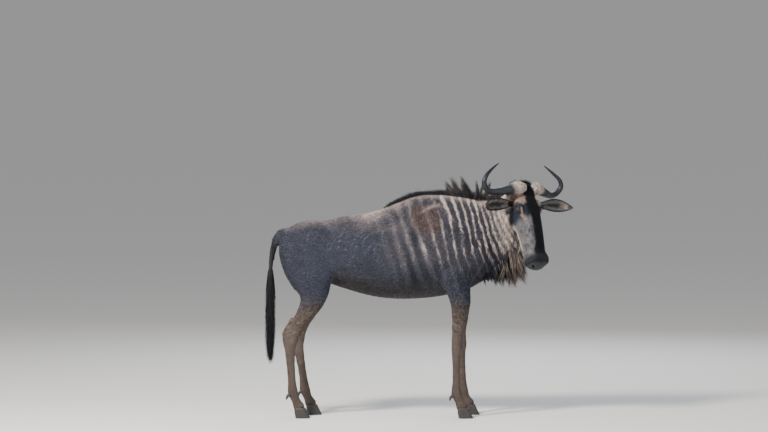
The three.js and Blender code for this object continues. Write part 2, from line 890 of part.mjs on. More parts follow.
function crestLocks(fromX, toX) {
  const made = [];
  let hand = 1;
  for (let x = fromX; x < toX; ) {
    const [, length, lean, next] = rowAt(crestRows, x);
    const root = trunkSkin(x, 1, 0.03 * hand);
    const lie = V(lean + between(-0.12, 0.12), hand * between(0.04, 0.16), 1);
    made.push(
      lock(root, lie, {
        length: (length + LOCK_ROOT) * between(0.82, 1.08),
        width: 27,
        thick: 12,
        side: V(1, between(-0.3, 0.3), 0),
        bend: V(between(-0.12, 0.04), 0, -0.05),
      }),
    );
    hand = -hand;
    x += next;
  }
  return made;
}

// The beard: rows of x, a lock's length and its lean towards the nose.
const beardRows = [
  [505, 75, 0],
  [570, 95, 0.06],
  [640, 140, 0.1],
  [700, 195, 0.2],
  [742, 225, 0.32],
];
const BEARD_STATIONS = 19;

function beardLocks() {
  return Array.from({ length: BEARD_STATIONS }, (_, i) => {
    const x = mix(505, 742, i / (BEARD_STATIONS - 1));
    const [, length, lean] = rowAt(beardRows, x);
    const sides = i % 2 ? [0] : [-0.3, 0.3];
    return sides.map((aside) =>
      lock(trunkSkin(x, -1, aside), V(lean + between(-0.1, 0.1), aside * 0.3, -1), {
        length: (length + LOCK_ROOT) * between(0.85, 1.1),
        width: 32,
        thick: 13,
        side: V(1, between(-0.5, 0.5), 0),
        bend: V(between(-0.1, 0.02), 0, 0),
      }),
    );
  }).flat();
}

// The tail's brush: a slim core with locks that leave it all round and hang out to the tips.
const BRUSH_LOCKS = 20;
const brushRows = [
  [-779, 0, 960, 9, 9],
  [-781, 0, 860, 22, 21],
  [-782, 0, 700, 29, 27],
  [-782, 0, 520, 20, 19],
  [-781, 0, 330, 2, 2],
];

function brushLocks() {
  return Array.from({ length: BRUSH_LOCKS }, (_, i) => {
    const t = i / (BRUSH_LOCKS - 1);
    const turn = i * 2.4 + between(-0.2, 0.2);
    const outward = V(Math.cos(turn), Math.sin(turn), 0);
    const root = V(-781, 0, mix(905, 590, t)).addScaledVector(outward, 8);
    return lock(root, V(0, 0, -1).addScaledVector(outward, between(0.14, 0.24)), {
      length: mix(250, 235, t) * between(0.9, 1.08),
      width: 34,
      thick: 12,
      side: V(-outward.y, outward.x, 0),
      bend: outward.clone().multiplyScalar(-0.1),
    });
  });
}

const torsoCore = trunkPart(-2000, NECK_CUT, 0, true);
const torsoGrown = trunkPart(-2000, NECK_CUT + GAP, GAP, true);
const neckCore = trunkPart(NECK_CUT + GAP, 2000, 0, false);
const headCore = headTube(0);
const headGrown = placedOnHead(headTube(GAP));

const group = new THREE.Group();
const looks = {
  coat: { color: 0x6b5f58, roughness: 0.85, metalness: 0 },
  dark: { color: 0x2a2624, roughness: 0.8, metalness: 0 },
  horn: { color: 0x3a3532, roughness: 0.5, metalness: 0 },
  hoof: { color: 0x2b2622, roughness: 0.55, metalness: 0 },
  eye: { color: 0x160f0a, roughness: 0.1, metalness: 0 },
};

function show(name, made, look) {
  const m = made.getMesh();
  const geometry = new THREE.BufferGeometry();
  const positions = new Float32Array(m.numVert * 3);
  for (let i = 0; i < m.numVert; i++) {
    positions.set(m.vertProperties.subarray(i * m.numProp, i * m.numProp + 3), i * 3);
  }
  geometry.setAttribute("position", new THREE.BufferAttribute(positions, 3));
  geometry.setIndex(new THREE.BufferAttribute(m.triVerts, 1));
  const mesh = new THREE.Mesh(geometry, new THREE.MeshStandardMaterial(looks[look]));
  mesh.name = name;
  group.add(mesh);
}

const horns = { left: horn(1), right: horn(-1) };
const eyes = mirrored((hand) => {
  const ball = new THREE.SphereGeometry(EYE_RADIUS, 12, 9);
  ball.translate(...eyeCentre(hand).toArray());
  return solidFromGeometry(ball);
});
const sockets = mirrored((hand) => {
  const ball = new THREE.SphereGeometry(EYE_RADIUS + GAP, 12, 9);
  ball.translate(...eyeCentre(hand).toArray());
  return solidFromGeometry(ball);
});
const headCut = joined([headCore, ...lids(-1), ...lids(1)])
  .subtract(joined(sockets))
  .subtract(joined(mirrored(nostril)))
  .subtract(mouthLine());
const head = placedOnHead(largest(headCut));

const CREST_FACE = 338;
const withersLocks = behindNeckFace(joined(crestLocks(crestRows[0][0], CREST_FACE - 14)));
const maneLocks = aheadOfNeckFace(joined(crestLocks(CREST_FACE + 14, 742)));
show("torso", largest(torsoCore.add(withersLocks)), "coat");
show(
  "neck",
  largest(
    joined([neckCore, maneLocks, ...beardLocks()]).subtract(
      joined([torsoGrown, headGrown, ...mirrored((hand) => ear(hand, 2).hull())]),
    ),
  ),
  "coat",
);
show("head", head, "dark");
for (const [name, hand] of [["left", 1], ["right", -1]]) {
  show("horn_" + name, largest(horns[name].subtract(headGrown)), "horn");
  show("ear_" + name, largest(ear(hand).subtract(headGrown)), "coat");
  show("eye_" + name, placedOnHead(eyes[hand > 0 ? 1 : 0]), "eye");
}
for (const [name, leg] of Object.entries(legs)) {
  const { upper, lower, rows } = legSolids(leg, torsoGrown);
  show("leg_" + name, upper, "coat");
  show("cannon_" + name, lower, "coat");
  for (const [label, side] of [["inner", -leg.hand], ["outer", leg.hand]]) {
    show("claw_" + name + "_" + label, claw(rows, side), "hoof");
  }
}
const dock = spindle(smoothRows(tailRows, 2), sideways, 10);
const tail = joined([dock, spindle(smoothRows(brushRows, 2), sideways, 8), ...brushLocks()]);
show("tail", largest(tail.subtract(torsoGrown)), "dark");

// The origin moves under the middle of the whole model.
const box = new THREE.Box3().setFromObject(group);
const middle = box.getCenter(V(0, 0, 0));
group.position.set(-middle.x, -middle.y, 0);

export default group;
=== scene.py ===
import math

import bmesh
import bpy
import numpy as np
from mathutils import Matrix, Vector


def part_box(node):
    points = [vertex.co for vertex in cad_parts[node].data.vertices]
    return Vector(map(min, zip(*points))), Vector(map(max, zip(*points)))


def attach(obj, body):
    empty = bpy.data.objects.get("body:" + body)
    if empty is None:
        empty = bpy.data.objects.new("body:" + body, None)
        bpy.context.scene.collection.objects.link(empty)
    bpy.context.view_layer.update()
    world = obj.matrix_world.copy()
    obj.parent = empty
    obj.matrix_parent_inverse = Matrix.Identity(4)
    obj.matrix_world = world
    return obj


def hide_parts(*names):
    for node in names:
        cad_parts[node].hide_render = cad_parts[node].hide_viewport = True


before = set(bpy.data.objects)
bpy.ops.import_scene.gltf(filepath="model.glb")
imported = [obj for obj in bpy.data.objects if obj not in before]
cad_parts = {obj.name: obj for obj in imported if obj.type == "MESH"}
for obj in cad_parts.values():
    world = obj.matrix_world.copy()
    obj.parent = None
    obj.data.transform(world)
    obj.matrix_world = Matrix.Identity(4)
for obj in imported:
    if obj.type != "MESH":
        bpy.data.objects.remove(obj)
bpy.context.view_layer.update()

# CAMERA AND STAGE
# The bull is seen from its right side, a little from above, from thirty metres with a long lens.
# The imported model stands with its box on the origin, so the body's own frame is moved by `place`.
MM = 0.001
FACE_PITCH, FACE_YAW, HEAD_ROLL = math.radians(66), math.radians(52), math.radians(4.3)
CROWN = np.array([820, -95, 1452]) * MM
EYE_RADIUS = 19 * MM
EYE_AT = np.array([138, 84, -29]) * MM

ahead = np.array([math.cos(FACE_YAW), -math.sin(FACE_YAW), 0.0])
level_left = np.array([math.sin(FACE_YAW), math.cos(FACE_YAW), 0.0])
head_left = level_left * math.cos(HEAD_ROLL) + np.cross(ahead, level_left) * math.sin(-HEAD_ROLL)
head_up = np.cross(ahead, head_left)
noseward = ahead * math.cos(FACE_PITCH) - head_up * math.sin(FACE_PITCH)
browward = ahead * math.sin(FACE_PITCH) + head_up * math.cos(FACE_PITCH)
head_axes = np.array([noseward, head_left, browward])


def on_head(points):
    """Points given as distance to the nose, to the left and out of the forehead, in the body frame."""
    return CROWN + np.asarray(points, float) @ head_axes


def beside_crown(left, forward, up):
    return CROWN + head_left * left + ahead * forward + head_up * up


eye_low, eye_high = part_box("eye_right")
eye_middle = np.array((eye_low + eye_high) / 2)
place = eye_middle - on_head(EYE_AT * [1, -1, 1])
place[2] = 0.0

scene = bpy.context.scene
VIEW_DISTANCE = 30.0
VIEW_ELEVATION = math.radians(3)
VIEW_CENTRE = np.array([-0.07, 0.0, 1.256]) + place
camera_data = bpy.data.cameras.new("camera")
camera_data.sensor_width = 36
camera_data.lens = 225
camera_data.clip_end = 2000


def added(name, data):
    """An object made of its data, in the scene."""
    obj = bpy.data.objects.new(name, data)
    scene.collection.objects.link(obj)
    return obj


camera = added("camera", camera_data)
camera.location = VIEW_CENTRE + VIEW_DISTANCE * np.array(
    [0, -math.cos(VIEW_ELEVATION), math.sin(VIEW_ELEVATION)])
camera.rotation_euler = (math.pi / 2 - VIEW_ELEVATION, 0, 0)
scene.camera = camera

LAMP_AIM = Vector((0, 0, 0.9))
SUNLIGHT, SKYLIGHT = (1.0, 0.95, 0.87), (0.86, 0.92, 1.0)


def lamp(name, size, power, at, colour):
    """A round soft lamp, aimed at the middle of the animal."""
    data = bpy.data.lights.new(name, "AREA")
    data.shape = "DISK"
    data.size = size
    data.energy = power
    data.color = colour
    obj = added(name, data)
    obj.location = at
    obj.rotation_euler = (LAMP_AIM - Vector(at)).to_track_quat("-Z", "Y").to_euler()


lamp("sun_side", 1.4, 900, (-3.2, -4.2, 5.2), SUNLIGHT)
lamp("sky_side", 4.0, 110, (4.5, -4.5, 3.0), SKYLIGHT)
lamp("sky_back", 4.0, 170, (1.0, 5.0, 4.0), SKYLIGHT)
world = bpy.data.worlds.new("studio")
world.use_nodes = True
sky = world.node_tree.nodes["Background"]
sky.inputs["Color"].default_value = (0.80, 0.82, 0.86, 1)
sky.inputs["Strength"].default_value = 0.5
scene.world = world


def new_material(name, finish):
    """A material, its nodes and its shader, with its finish set on the shader's own sockets."""
    material = bpy.data.materials.new(name)
    material.use_nodes = True
    shader = material.node_tree.nodes["Principled BSDF"]
    for socket, value in finish.items():
        shader.inputs[socket].default_value = value
    return material, material.node_tree, shader


FLOOR_REACH = 600
floor_mesh = bpy.data.meshes.new("floor")
floor_mesh.from_pydata(
    [(FLOOR_REACH * x, FLOOR_REACH * y, 0) for x, y in ((-1, -1), (1, -1), (1, 1), (-1, 1))],
    [], [(0, 1, 2, 3)])
floor = added("floor", floor_mesh)
floor_paint = new_material("floor_paint", {"Base Color": (0.80, 0.78, 0.75, 1), "Roughness": 0.9})[0]
floor_mesh.materials.append(floor_paint)

# SKIN
# One hide over the whole animal, stretched over barrel, shoulders, haunches, neck, legs and head.
# Each muscle is a chain of ellipsoids, and a hide at an even depth runs over all of them.


def smooth_rows(rows, steps):
    """Rows of numbers along a limb, turned into many rows on one smooth curve through them."""
    rows = np.asarray(rows, float)
    ends = np.vstack([rows[:1], rows, rows[-1:]])
    made = []
    for a, b, c, d in zip(ends[:-3], ends[1:-2], ends[2:-1], ends[3:]):
        for t in np.arange(steps) / steps:
            made.append(
                (2 * t**3 - 3 * t**2 + 1) * b
                + (t**3 - 2 * t**2 + t) * (c - a) / 2
                + (3 * t**2 - 2 * t**3) * c
                + (t**3 - t**2) * (d - b) / 2)
    return np.array(made + [rows[-1]])


def ball(centre, radii, along=(1, 0, 0), side=(0, 1, 0)):
    """An ellipsoid, with sizes in millimetres: centre, half-sizes along, aside and up."""
    t = np.array(along, float) / np.linalg.norm(along)
    up = np.cross(t, side)
    up /= np.linalg.norm(up)
    return np.array(centre, float) * MM, np.array([t, np.cross(up, t), up]), np.array(radii, float) * MM


def limb(rows, side=(0, 1, 0), steps=8):
    """Ellipsoids along rows of x, y, z, half-width and half-depth, in millimetres."""
    fine = smooth_rows(rows, steps)
    before = np.vstack([fine[:1], fine[:-1]])
    after = np.vstack([fine[1:], fine[-1:]])
    return [
        ball(r[:3], (min(r[3:5]), r[3], r[4]), q[:3] - p[:3], side)
        for r, p, q in zip(fine, before, after)]


def both(make):
    """The same muscle on the animal's right and left."""
    return [make(-1), make(1)]


barrel = limb(
    [[-650, 0, 1095, 70, 85], [-560, 0, 1071, 135, 158], [-420, 0, 1043, 180, 190],
     [-240, 0, 1018, 217, 228], [-60, 0, 1000, 235, 255], [120, 0, 1002, 229, 262],
     [290, 0, 1012, 199, 250], [420, 0, 1030, 160, 215], [510, 0, 1040, 120, 165]], steps=6)
withers = limb(
    [[-300, 0, 1158, 58, 62], [-130, 0, 1180, 68, 74], [30, 0, 1240, 74, 100],
     [170, 0, 1284, 76, 110], [300, 0, 1282, 72, 108], [420, 0, 1262, 66, 104]])
neck_flesh = limb(
    [[330, 0, 1140, 120, 215], [450, 0, 1150, 112, 205], [560, -4, 1180, 96, 188],
     [650, -10, 1224, 80, 156], [710, -16, 1278, 70, 116], [748, -22, 1330, 64, 92],
     [776, -42, 1360, 56, 70]], side=(0.1, 1, 0), steps=6)
dewlap = limb(
    [[440, 0, 925, 64, 90], [560, -4, 985, 52, 84], [660, -14, 1036, 44, 90],
     [716, -24, 1098, 38, 84]], side=(0.22, 1, 0))


def shoulder(hand):
    return limb([[215, 95 * hand, 1270, 30, 70], [290, 135 * hand, 1160, 45, 92],
                 [370, 155 * hand, 1045, 52, 98], [430, 150 * hand, 955, 50, 92]])


def upper_arm(hand):
    return limb([[480, 125 * hand, 1000, 45, 60], [430, 145 * hand, 920, 50, 72],
                 [378, 148 * hand, 855, 44, 68], [388, 148 * hand, 800, 20, 34]])


def haunch(hand):
    return limb([[-500, 85 * hand, 1145, 70, 85], [-545, 112 * hand, 1050, 82, 135],
                 [-540, 130 * hand, 955, 78, 148], [-520, 138 * hand, 870, 60, 112],
                 [-514, 140 * hand, 790, 28, 58]])


def buttock(hand):
    return limb([[-655, 62 * hand, 1120, 42, 52], [-672, 78 * hand, 1040, 52, 52],
                 [-645, 98 * hand, 945, 50, 52], [-598, 116 * hand, 860, 36, 42]])


trunk_masses = [(barrel, 1), (withers, 110), (neck_flesh, 70), (dewlap, 60)]
for hand in (-1, 1):
    trunk_masses += [(shoulder(hand), 55), (upper_arm(hand), 50), (haunch(hand), 55), (buttock(hand), 45)]

CORONET = 64
fore_rows = [
    [398, 148, 940, 36, 54], [384, 150, 870, 50, 76], [394, 147, 800, 52, 74],
    [405, 141, 720, 46, 62], [402, 137, 640, 38, 50], [390, 132, 540, 30, 36],
    [386, 130, 480, 32, 35], [385, 130, 440, 33, 35], [381, 130, 395, 26, 29],
    [380, 130, 320, 20, 24], [380, 130, 230, 20, 24], [380, 130, 180, 25, 29],
    [383, 130, 150, 28, 32], [399, 130, 108, 24, 27], [416, 130, CORONET + 8, 31, 36],
    [424, 130, CORONET - 20, 36, 44]]
hind_rows = [
    [-530, 132, 950, 40, 74], [-520, 139, 880, 60, 112], [-506, 141, 800, 58, 96],
    [-524, 136, 720, 48, 72], [-560, 131, 655, 40, 55], [-606, 125, 580, 31, 42],
    [-640, 122, 520, 29, 44], [-652, 120, 480, 32, 44], [-656, 120, 430, 28, 34],
    [-652, 120, 340, 21, 27], [-645, 120, 240, 20, 25], [-641, 120, 190, 25, 29],
    [-636, 120, 155, 28, 32], [-619, 120, 110, 24, 27], [-601, 120, CORONET + 8, 30, 35],
    [-593, 120, CORONET - 20, 35, 43]]
legs = {
    "fore_left": (fore_rows, 1, 45), "fore_right": (fore_rows, -1, 0),
    "hind_left": (hind_rows, 1, 70), "hind_right": (hind_rows, -1, 0)}


def swing(z, shift):
    """How far ahead a leg stands at height z, when its foot is set ahead by the shift."""
    t = min(max((900 - z) / 760, 0), 1)
    return shift * t * t * (3 - 2 * t)


leg_rows = {
    name: np.array([[x + swing(z, shift), y * hand, z, w, d] for x, y, z, w, d in rows])
    for name, (rows, hand, shift) in legs.items()}
leg_masses = []
for name, (rows, hand, shift) in legs.items():
    leg_masses.append((limb(leg_rows[name][:-1], steps=13), 45))
    if rows is hind_rows:
        leg_masses.append((limb(
            [[-643 + swing(618, shift), 122 * hand, 618, 10, 12],
             [-680 + swing(548, shift), 122 * hand, 548, 13, 14],
             [-686 + swing(516, shift), 122 * hand, 516, 18, 17],
             [-666 + swing(458, shift), 122 * hand, 458, 17, 18]]), 26))

# The head's rows are towards the nose, to the left and out of the forehead from the crown.
head_local = [
    (limb([[30, 0, -88, 78, 70], [90, 0, -80, 88, 90], [150, 0, -74, 86, 98],
           [220, 0, -66, 76, 94], [300, 0, -62, 66, 86], [380, 0, -62, 60, 76],
           [440, 0, -66, 63, 66], [482, 0, -72, 66, 56]]), 30),
    ([ball((18, 0, -40), (54, 62, 40))], 40),
    *both(lambda h: ([ball((18, 44 * h, -30), (42, 38, 30))], 24)),
    *both(lambda h: ([ball((132, 75 * h, -27), (46, 26, 28))], 20)),
    *both(lambda h: (limb([[108, 68 * h, -108, 20, 52], [170, 62 * h, -116, 20, 54],
                           [235, 50 * h, -108, 16, 42]]), 30)),
    *both(lambda h: (limb([[168, 85 * h, -56, 9, 10], [235, 70 * h, -60, 8, 9],
                           [300, 57 * h, -64, 6, 7]]), 22)),
    (limb([[120, 0, -142, 50, 36], [210, 0, -136, 46, 34], [310, 0, -124, 41, 30],
           [400, 0, -116, 44, 28], [478, 0, -112, 48, 26]]), 26),
    *both(lambda h: ([ball((476, 42 * h, -36), (38, 27, 26))], 26)),
    ([ball((486, 0, -82), (34, 64, 30))], 24)]


def eye_axes(hand):
    """The eye's gaze, the line of its slit towards the nose, and the way to the upper lid."""
    gaze = np.array([0.3, hand, 0.24]) / np.linalg.norm([0.3, 1, 0.24])
    slit = np.array([0.82, 0, 0.57]) - gaze * (0.82 * gaze[0] + 0.57 * gaze[2])
    slit /= np.linalg.norm(slit)
    return gaze, slit, np.cross(slit, gaze) * hand


LID_REACH, LID_RISE, LID_THICK = 18, 11, 4.2


def lid_arc(hand, open_by):
    """The rim of one eyelid, over the front of the eyeball."""
    centre = EYE_AT / MM * [1, hand, 1]
    gaze, slit, over = eye_axes(hand)
    rows = []
    for angle in np.linspace(0, math.pi, 13):
        p = centre + slit * LID_REACH * math.cos(angle) + over * open_by * math.sin(angle)
        out = math.sqrt(max((EYE_RADIUS / MM) ** 2 - np.sum((p - centre) ** 2), 9))
        p = p + gaze * (out + 1.6)
        rows.append([*p, LID_THICK, LID_THICK])
    return limb(rows, side=gaze, steps=2)


def eye_opening(hand):
    """The almond that is cut between the lids, in front of the eyeball."""
    gaze, slit, _ = eye_axes(hand)
    return [ball(EYE_AT / MM * [1, hand, 1] + gaze * 20, (15.5, 17, 8.5), along=slit, side=gaze)]


head_local += [(lid_arc(h, s * LID_RISE), 6) for h in (-1, 1) for s in (-1, 1)]
carved_local = [
    *both(lambda h: ([ball(EYE_AT / MM * [1, h, 1], (19.2, 19.2, 19.2))], 2)),
    *both(lambda h: (eye_opening(h), 3))]


def onto_head(balls):
    """Ellipsoids of the head, moved from its crown to the body's frame."""
    return [(on_head(c), axes @ head_axes, r) for c, axes, r in balls]


head_masses = [(onto_head(balls), k) for balls, k in head_local]
carved_masses = [(onto_head(balls), k) for balls, k in carved_local]
dock = limb([[-650, 0, 1140, 30, 34], [-705, 0, 1146, 30, 32], [-746, 0, 1096, 26, 27],
             [-768, 0, 1030, 22, 22], [-778, 0, 940, 18, 18], [-780, 0, 840, 15, 15],
             [-778, 0, 760, 12, 12]], steps=6)


FARTHEST = 120 * MM


def outside(points, balls):
    """How far points lie outside the nearest ellipsoid, and which way is out.

    Points farther than FARTHEST from all of them are left out, at a distance of 1.
    """
    centres = np.array([b[0] for b in balls])
    axes = np.array([b[1] for b in balls])
    radii = np.array([b[2] for b in balls])
    low = (centres - radii.max(1)[:, None]).min(0) - FARTHEST
    high = (centres + radii.max(1)[:, None]).max(0) + FARTHEST
    near = np.all((points > low) & (points < high), axis=1)
    distance = np.full(len(points), 1.0)
    way = np.zeros((len(points), 3))
    q = points[near]
    best = np.full(len(q), np.inf)
    which = np.zeros(len(q), int)
    for i in range(len(balls)):
        a = (q - centres[i]) @ (axes[i] / radii[i][:, None]).T
        b = a / radii[i]
        k0 = np.sqrt((a * a).sum(1))
        k1 = np.sqrt((b * b).sum(1)) + 1e-9
        e = k0 * (k0 - 1) / k1
        closer = e < best
        best[closer] = e[closer]
        which[closer] = i
    local = np.einsum("nij,nj->ni", axes[which], q - centres[which]) / radii[which] ** 2
    local /= np.linalg.norm(local, axis=1)[:, None] + 1e-12
    distance[near] = best
    way[near] = np.einsum("nij,ni->nj", axes[which], local)
    return distance, way


def blended(points, masses, cut=()):
    """The soft union of the masses, less the cuts, with the way out of it.

    Each mass is its ellipsoids and how softly they join the rest, in millimetres.
    """
    d, way = np.full(len(points), 1.0), np.zeros((len(points), 3))
    for sign, group in ((1, masses), (-1, cut)):
        for balls, k in group:
            e, turn = outside(points, balls)
            d, way = sign * d, sign * way
            h = np.maximum(k * MM - np.abs(d - e), 0) / (k * MM)
            share = np.where(d < e, 1 - h / 2, h / 2)[:, None]
            way = way * share + turn * (1 - share)
            d = np.minimum(d, e) - h * h * k * MM / 4
            d, way = sign * d, sign * way
    return d, way


# A rough hide is fused from all the ellipsoids and then pulled onto the smooth body.
ROUGH_GRAIN = 9 * MM
pattern = bmesh.new()
bmesh.ops.create_icosphere(pattern, subdivisions=2, radius=1.0)
pattern_at = np.array([v.co[:] for v in pattern.verts])
pattern_faces = np.array([[v.index for v in f.verts] for f in pattern.faces])
pattern.free()
all_balls = [b for balls, _ in trunk_masses + leg_masses + head_masses + [(dock, 30)] for b in balls]


def shade_smooth(mesh):
    mesh.polygons.foreach_set("use_smooth", np.ones(len(mesh.polygons), bool))


def mesh_from(name, points, faces):
    """A mesh from arrays of points and of faces, each face a row of point numbers."""
    mesh = bpy.data.meshes.new(name)
    mesh.vertices.add(len(points))
    mesh.vertices.foreach_set("co", np.asarray(points, np.float32).ravel())
    faces = np.asarray(faces)
    mesh.loops.add(faces.size)
    mesh.loops.foreach_set("vertex_index", faces.astype(np.int32).ravel())
    mesh.polygons.add(len(faces))
    mesh.polygons.foreach_set("loop_start", np.arange(0, faces.size, faces.shape[1], dtype=np.int32))
    shade_smooth(mesh)
    mesh.update(calc_edges=True)
    return mesh


rough_mesh = mesh_from(
    "rough_hide",
    np.vstack([centre + (pattern_at * radii) @ axes for centre, axes, radii in all_balls]),
    np.vstack([pattern_faces + i * len(pattern_at) for i in range(len(all_balls))]))
rough_hide = added("rough_hide", rough_mesh)
remesh = rough_hide.modifiers.new("fuse", "REMESH")
remesh.mode = "VOXEL"
remesh.voxel_size = ROUGH_GRAIN
skin_mesh = bpy.data.meshes.new_from_object(
    rough_hide.evaluated_get(bpy.context.evaluated_depsgraph_get()))
bpy.data.objects.remove(rough_hide)


def finer(mesh, wanted):
    """Splits the faces whose middles are wanted into quarters."""
    work = bmesh.new()
    work.from_mesh(mesh)
    middles = np.array([f.calc_center_median() for f in work.faces])
    chosen = wanted(middles)
    edges = {e for f, c in zip(work.faces, chosen) if c for e in f.edges}
    bmesh.ops.subdivide_edges(work, edges=list(edges), cuts=1, use_grid_fill=True)
    work.to_mesh(mesh)
    work.free()


def head_coordinates(points):
    """How far points lie towards the nose, to the left and out of the forehead from the crown."""
    return (points - CROWN) @ head_axes.T


def in_head(points):
    d, side, out = head_coordinates(points).T
    return (d > -0.06) & (np.abs(side) < 0.14) & (out > -0.215) & (out < 0.09) & (d < 0.6)


def near_features(points):
    """Where the eyes and the muzzle need the finest hide."""
    local = head_coordinates(points)
    eyes = np.min([np.linalg.norm(local - EYE_AT * [1, h, 1], axis=1) for h in (1, -1)], axis=0)
    return (eyes < 0.036) | ((local[:, 0] > 0.385) & in_head(points))


COAT_DEPTH, FACE_COAT = 5 * MM, 1.5 * MM
KNEE_HEIGHT = 0.55
LONGEST_MOVE = 30 * MM


def points_of(mesh):
    found = np.zeros(len(mesh.vertices) * 3)
    mesh.vertices.foreach_get("co", found)
    return found.reshape(-1, 3)


def drawn_onto_body(points):
    """Moves points onto the smooth body, less the depth of the coat there. Gives the way out too."""
    distance, way = blended(
        points, trunk_masses + leg_masses + [(dock, 30)] + head_masses, cut=carved_masses)
    face = np.clip((head_coordinates(points)[:, 0] + 0.02) / 0.06, 0, 1) * in_head(points)
    low_leg = np.clip((KNEE_HEIGHT + 0.2 - points[:, 2]) / 0.2, 0, 1)
    thin = np.maximum(face, low_leg)
    depth = COAT_DEPTH * (1 - thin) + FACE_COAT * thin
    way = way / (np.linalg.norm(way, axis=1)[:, None] + 1e-12)
    return points - way * np.clip(distance + depth, -LONGEST_MOVE, LONGEST_MOVE)[:, None], way


for wanted in (in_head, near_features, None):
    skin_at = points_of(skin_mesh)
    for _ in range(2):
        skin_at, skin_out = drawn_onto_body(skin_at)
    skin_mesh.vertices.foreach_set("co", skin_at.ravel())
    if wanted:
        finer(skin_mesh, wanted)


def soft(value, low, high):
    """0 below low and 1 above high, with a smooth way between."""
    t = np.clip((value - low) / (high - low), 0, 1)
    return t * t * (3 - 2 * t)


def cloud(points, size, seed=0):
    """Smooth random values from -1 to 1, in lumps of about that size."""
    q = points / size + 31.7 * seed
    cell = np.floor(q).astype(np.int64)
    f = q - cell
    f = f * f * (3 - 2 * f)
    total = np.zeros(len(points))
    for corner in np.ndindex(2, 2, 2):
        c = cell + corner
        n = (c[:, 0] * 73856093) ^ (c[:, 1] * 19349663) ^ (c[:, 2] * 83492791)
        n = (n ^ (n >> 13)) & 0x7FFFFFFF
        n = (n * (n * n % 1000003 * 15731 + 789221) + 1376312589) & 0x7FFFFFFF
        share = np.prod(np.where(corner, f, 1 - f), axis=1)
        total += share * (n / 0x3FFFFFFF - 1)
    return total


def painted(colour, over, weight):
    """One colour laid over others by a weight."""
    return over + (np.asarray(colour) - over) * weight[:, None]


NOSTRIL_ASIDE, NOSTRIL_HIGH, NOSTRIL_LONG, NOSTRIL_WIDE = 0.041, -0.060, 0.028, 0.0135
MOUTH_HIGH, MOUTH_WIDE = -0.100, 0.006
NOSTRIL_DEPTH, MOUTH_DEPTH = 14 * MM, 5 * MM


def pressed_in(points):
    """Where the nostrils and the line of the mouth press into the muzzle, each from 0 to 1."""
    d, side, up = head_coordinates(points).T
    across, high = np.abs(side) - NOSTRIL_ASIDE, up - NOSTRIL_HIGH
    nostril = np.hypot((high + across) / NOSTRIL_LONG, (high - across) / NOSTRIL_WIDE)
    nostril = (1 - soft(nostril, 0.4, 1.0)) * soft(d, 0.46, 0.48)
    mouth = (1 - soft(np.abs(up - MOUTH_HIGH), MOUTH_WIDE / 4, MOUTH_WIDE)) * soft(d, 0.385, 0.42)
    return nostril * in_head(points), mouth * in_head(points)


nostril, mouth = pressed_in(skin_at)
skin_at = skin_at - skin_out * (NOSTRIL_DEPTH * nostril + MOUTH_DEPTH * mouth)[:, None]

# The colours of the hide, and how many stripes stand behind each x of the neck and shoulder.
SLATE = (0.042, 0.047, 0.072)
# Tan of the back's hair, brightened on its top as painted sunlight.
TAN_AND_SUNLIT_BACK = (0.62, 0.49, 0.44)
RUST = (0.085, 0.050, 0.046)
BELLY = (0.060, 0.054, 0.056)
LEG_TAN = (0.125, 0.092, 0.073)
STRIPE_DARK = (0.018, 0.021, 0.034)
# Pale of the neck's stripes, also laid between the shoulder stripes as painted highlights.
STRIPE_PALE_AND_HIGHLIGHT = (0.70, 0.60, 0.55)
SHOULDER_PALE = (0.135, 0.122, 0.140)
# Black of the hair, also laid as painted shade in the nostrils and along the line of the mouth.
BLACK_HAIR_AND_SHADE = (0.009, 0.010, 0.014)
# Painted shadow over the cheeks.
CHEEK_SHADOW = (0.024, 0.031, 0.050)
BROW_TAN = (0.44, 0.325, 0.265)
FACE_GREY = (0.225, 0.218, 0.235)
JAW_PALE = (0.72, 0.65, 0.62)
MUZZLE_DARK = (0.034, 0.036, 0.046)
NOSE_SKIN = (0.020, 0.022, 0.029)
stripe_line = np.linspace(-0.7, 1.5, 441)
stripe_pitch = np.interp(stripe_line, [-0.4, 0.15, 0.35, 0.5], [0.085, 0.072, 0.056, 0.040])
stripe_count = np.cumsum(0.005 / stripe_pitch)
RUST_X, RUST_Z, RUST_LONG, RUST_TALL = 0.2, 1.25, 0.13, 0.115
BROW_D, BROW_SIDE, BROW_LONG, BROW_WIDE = 0.078, 0.068, 0.055, 0.036
CHEEK_BONE_D, CHEEK_BONE_SIDE, CHEEK_BONE_LONG = 0.15, 0.082, 0.07


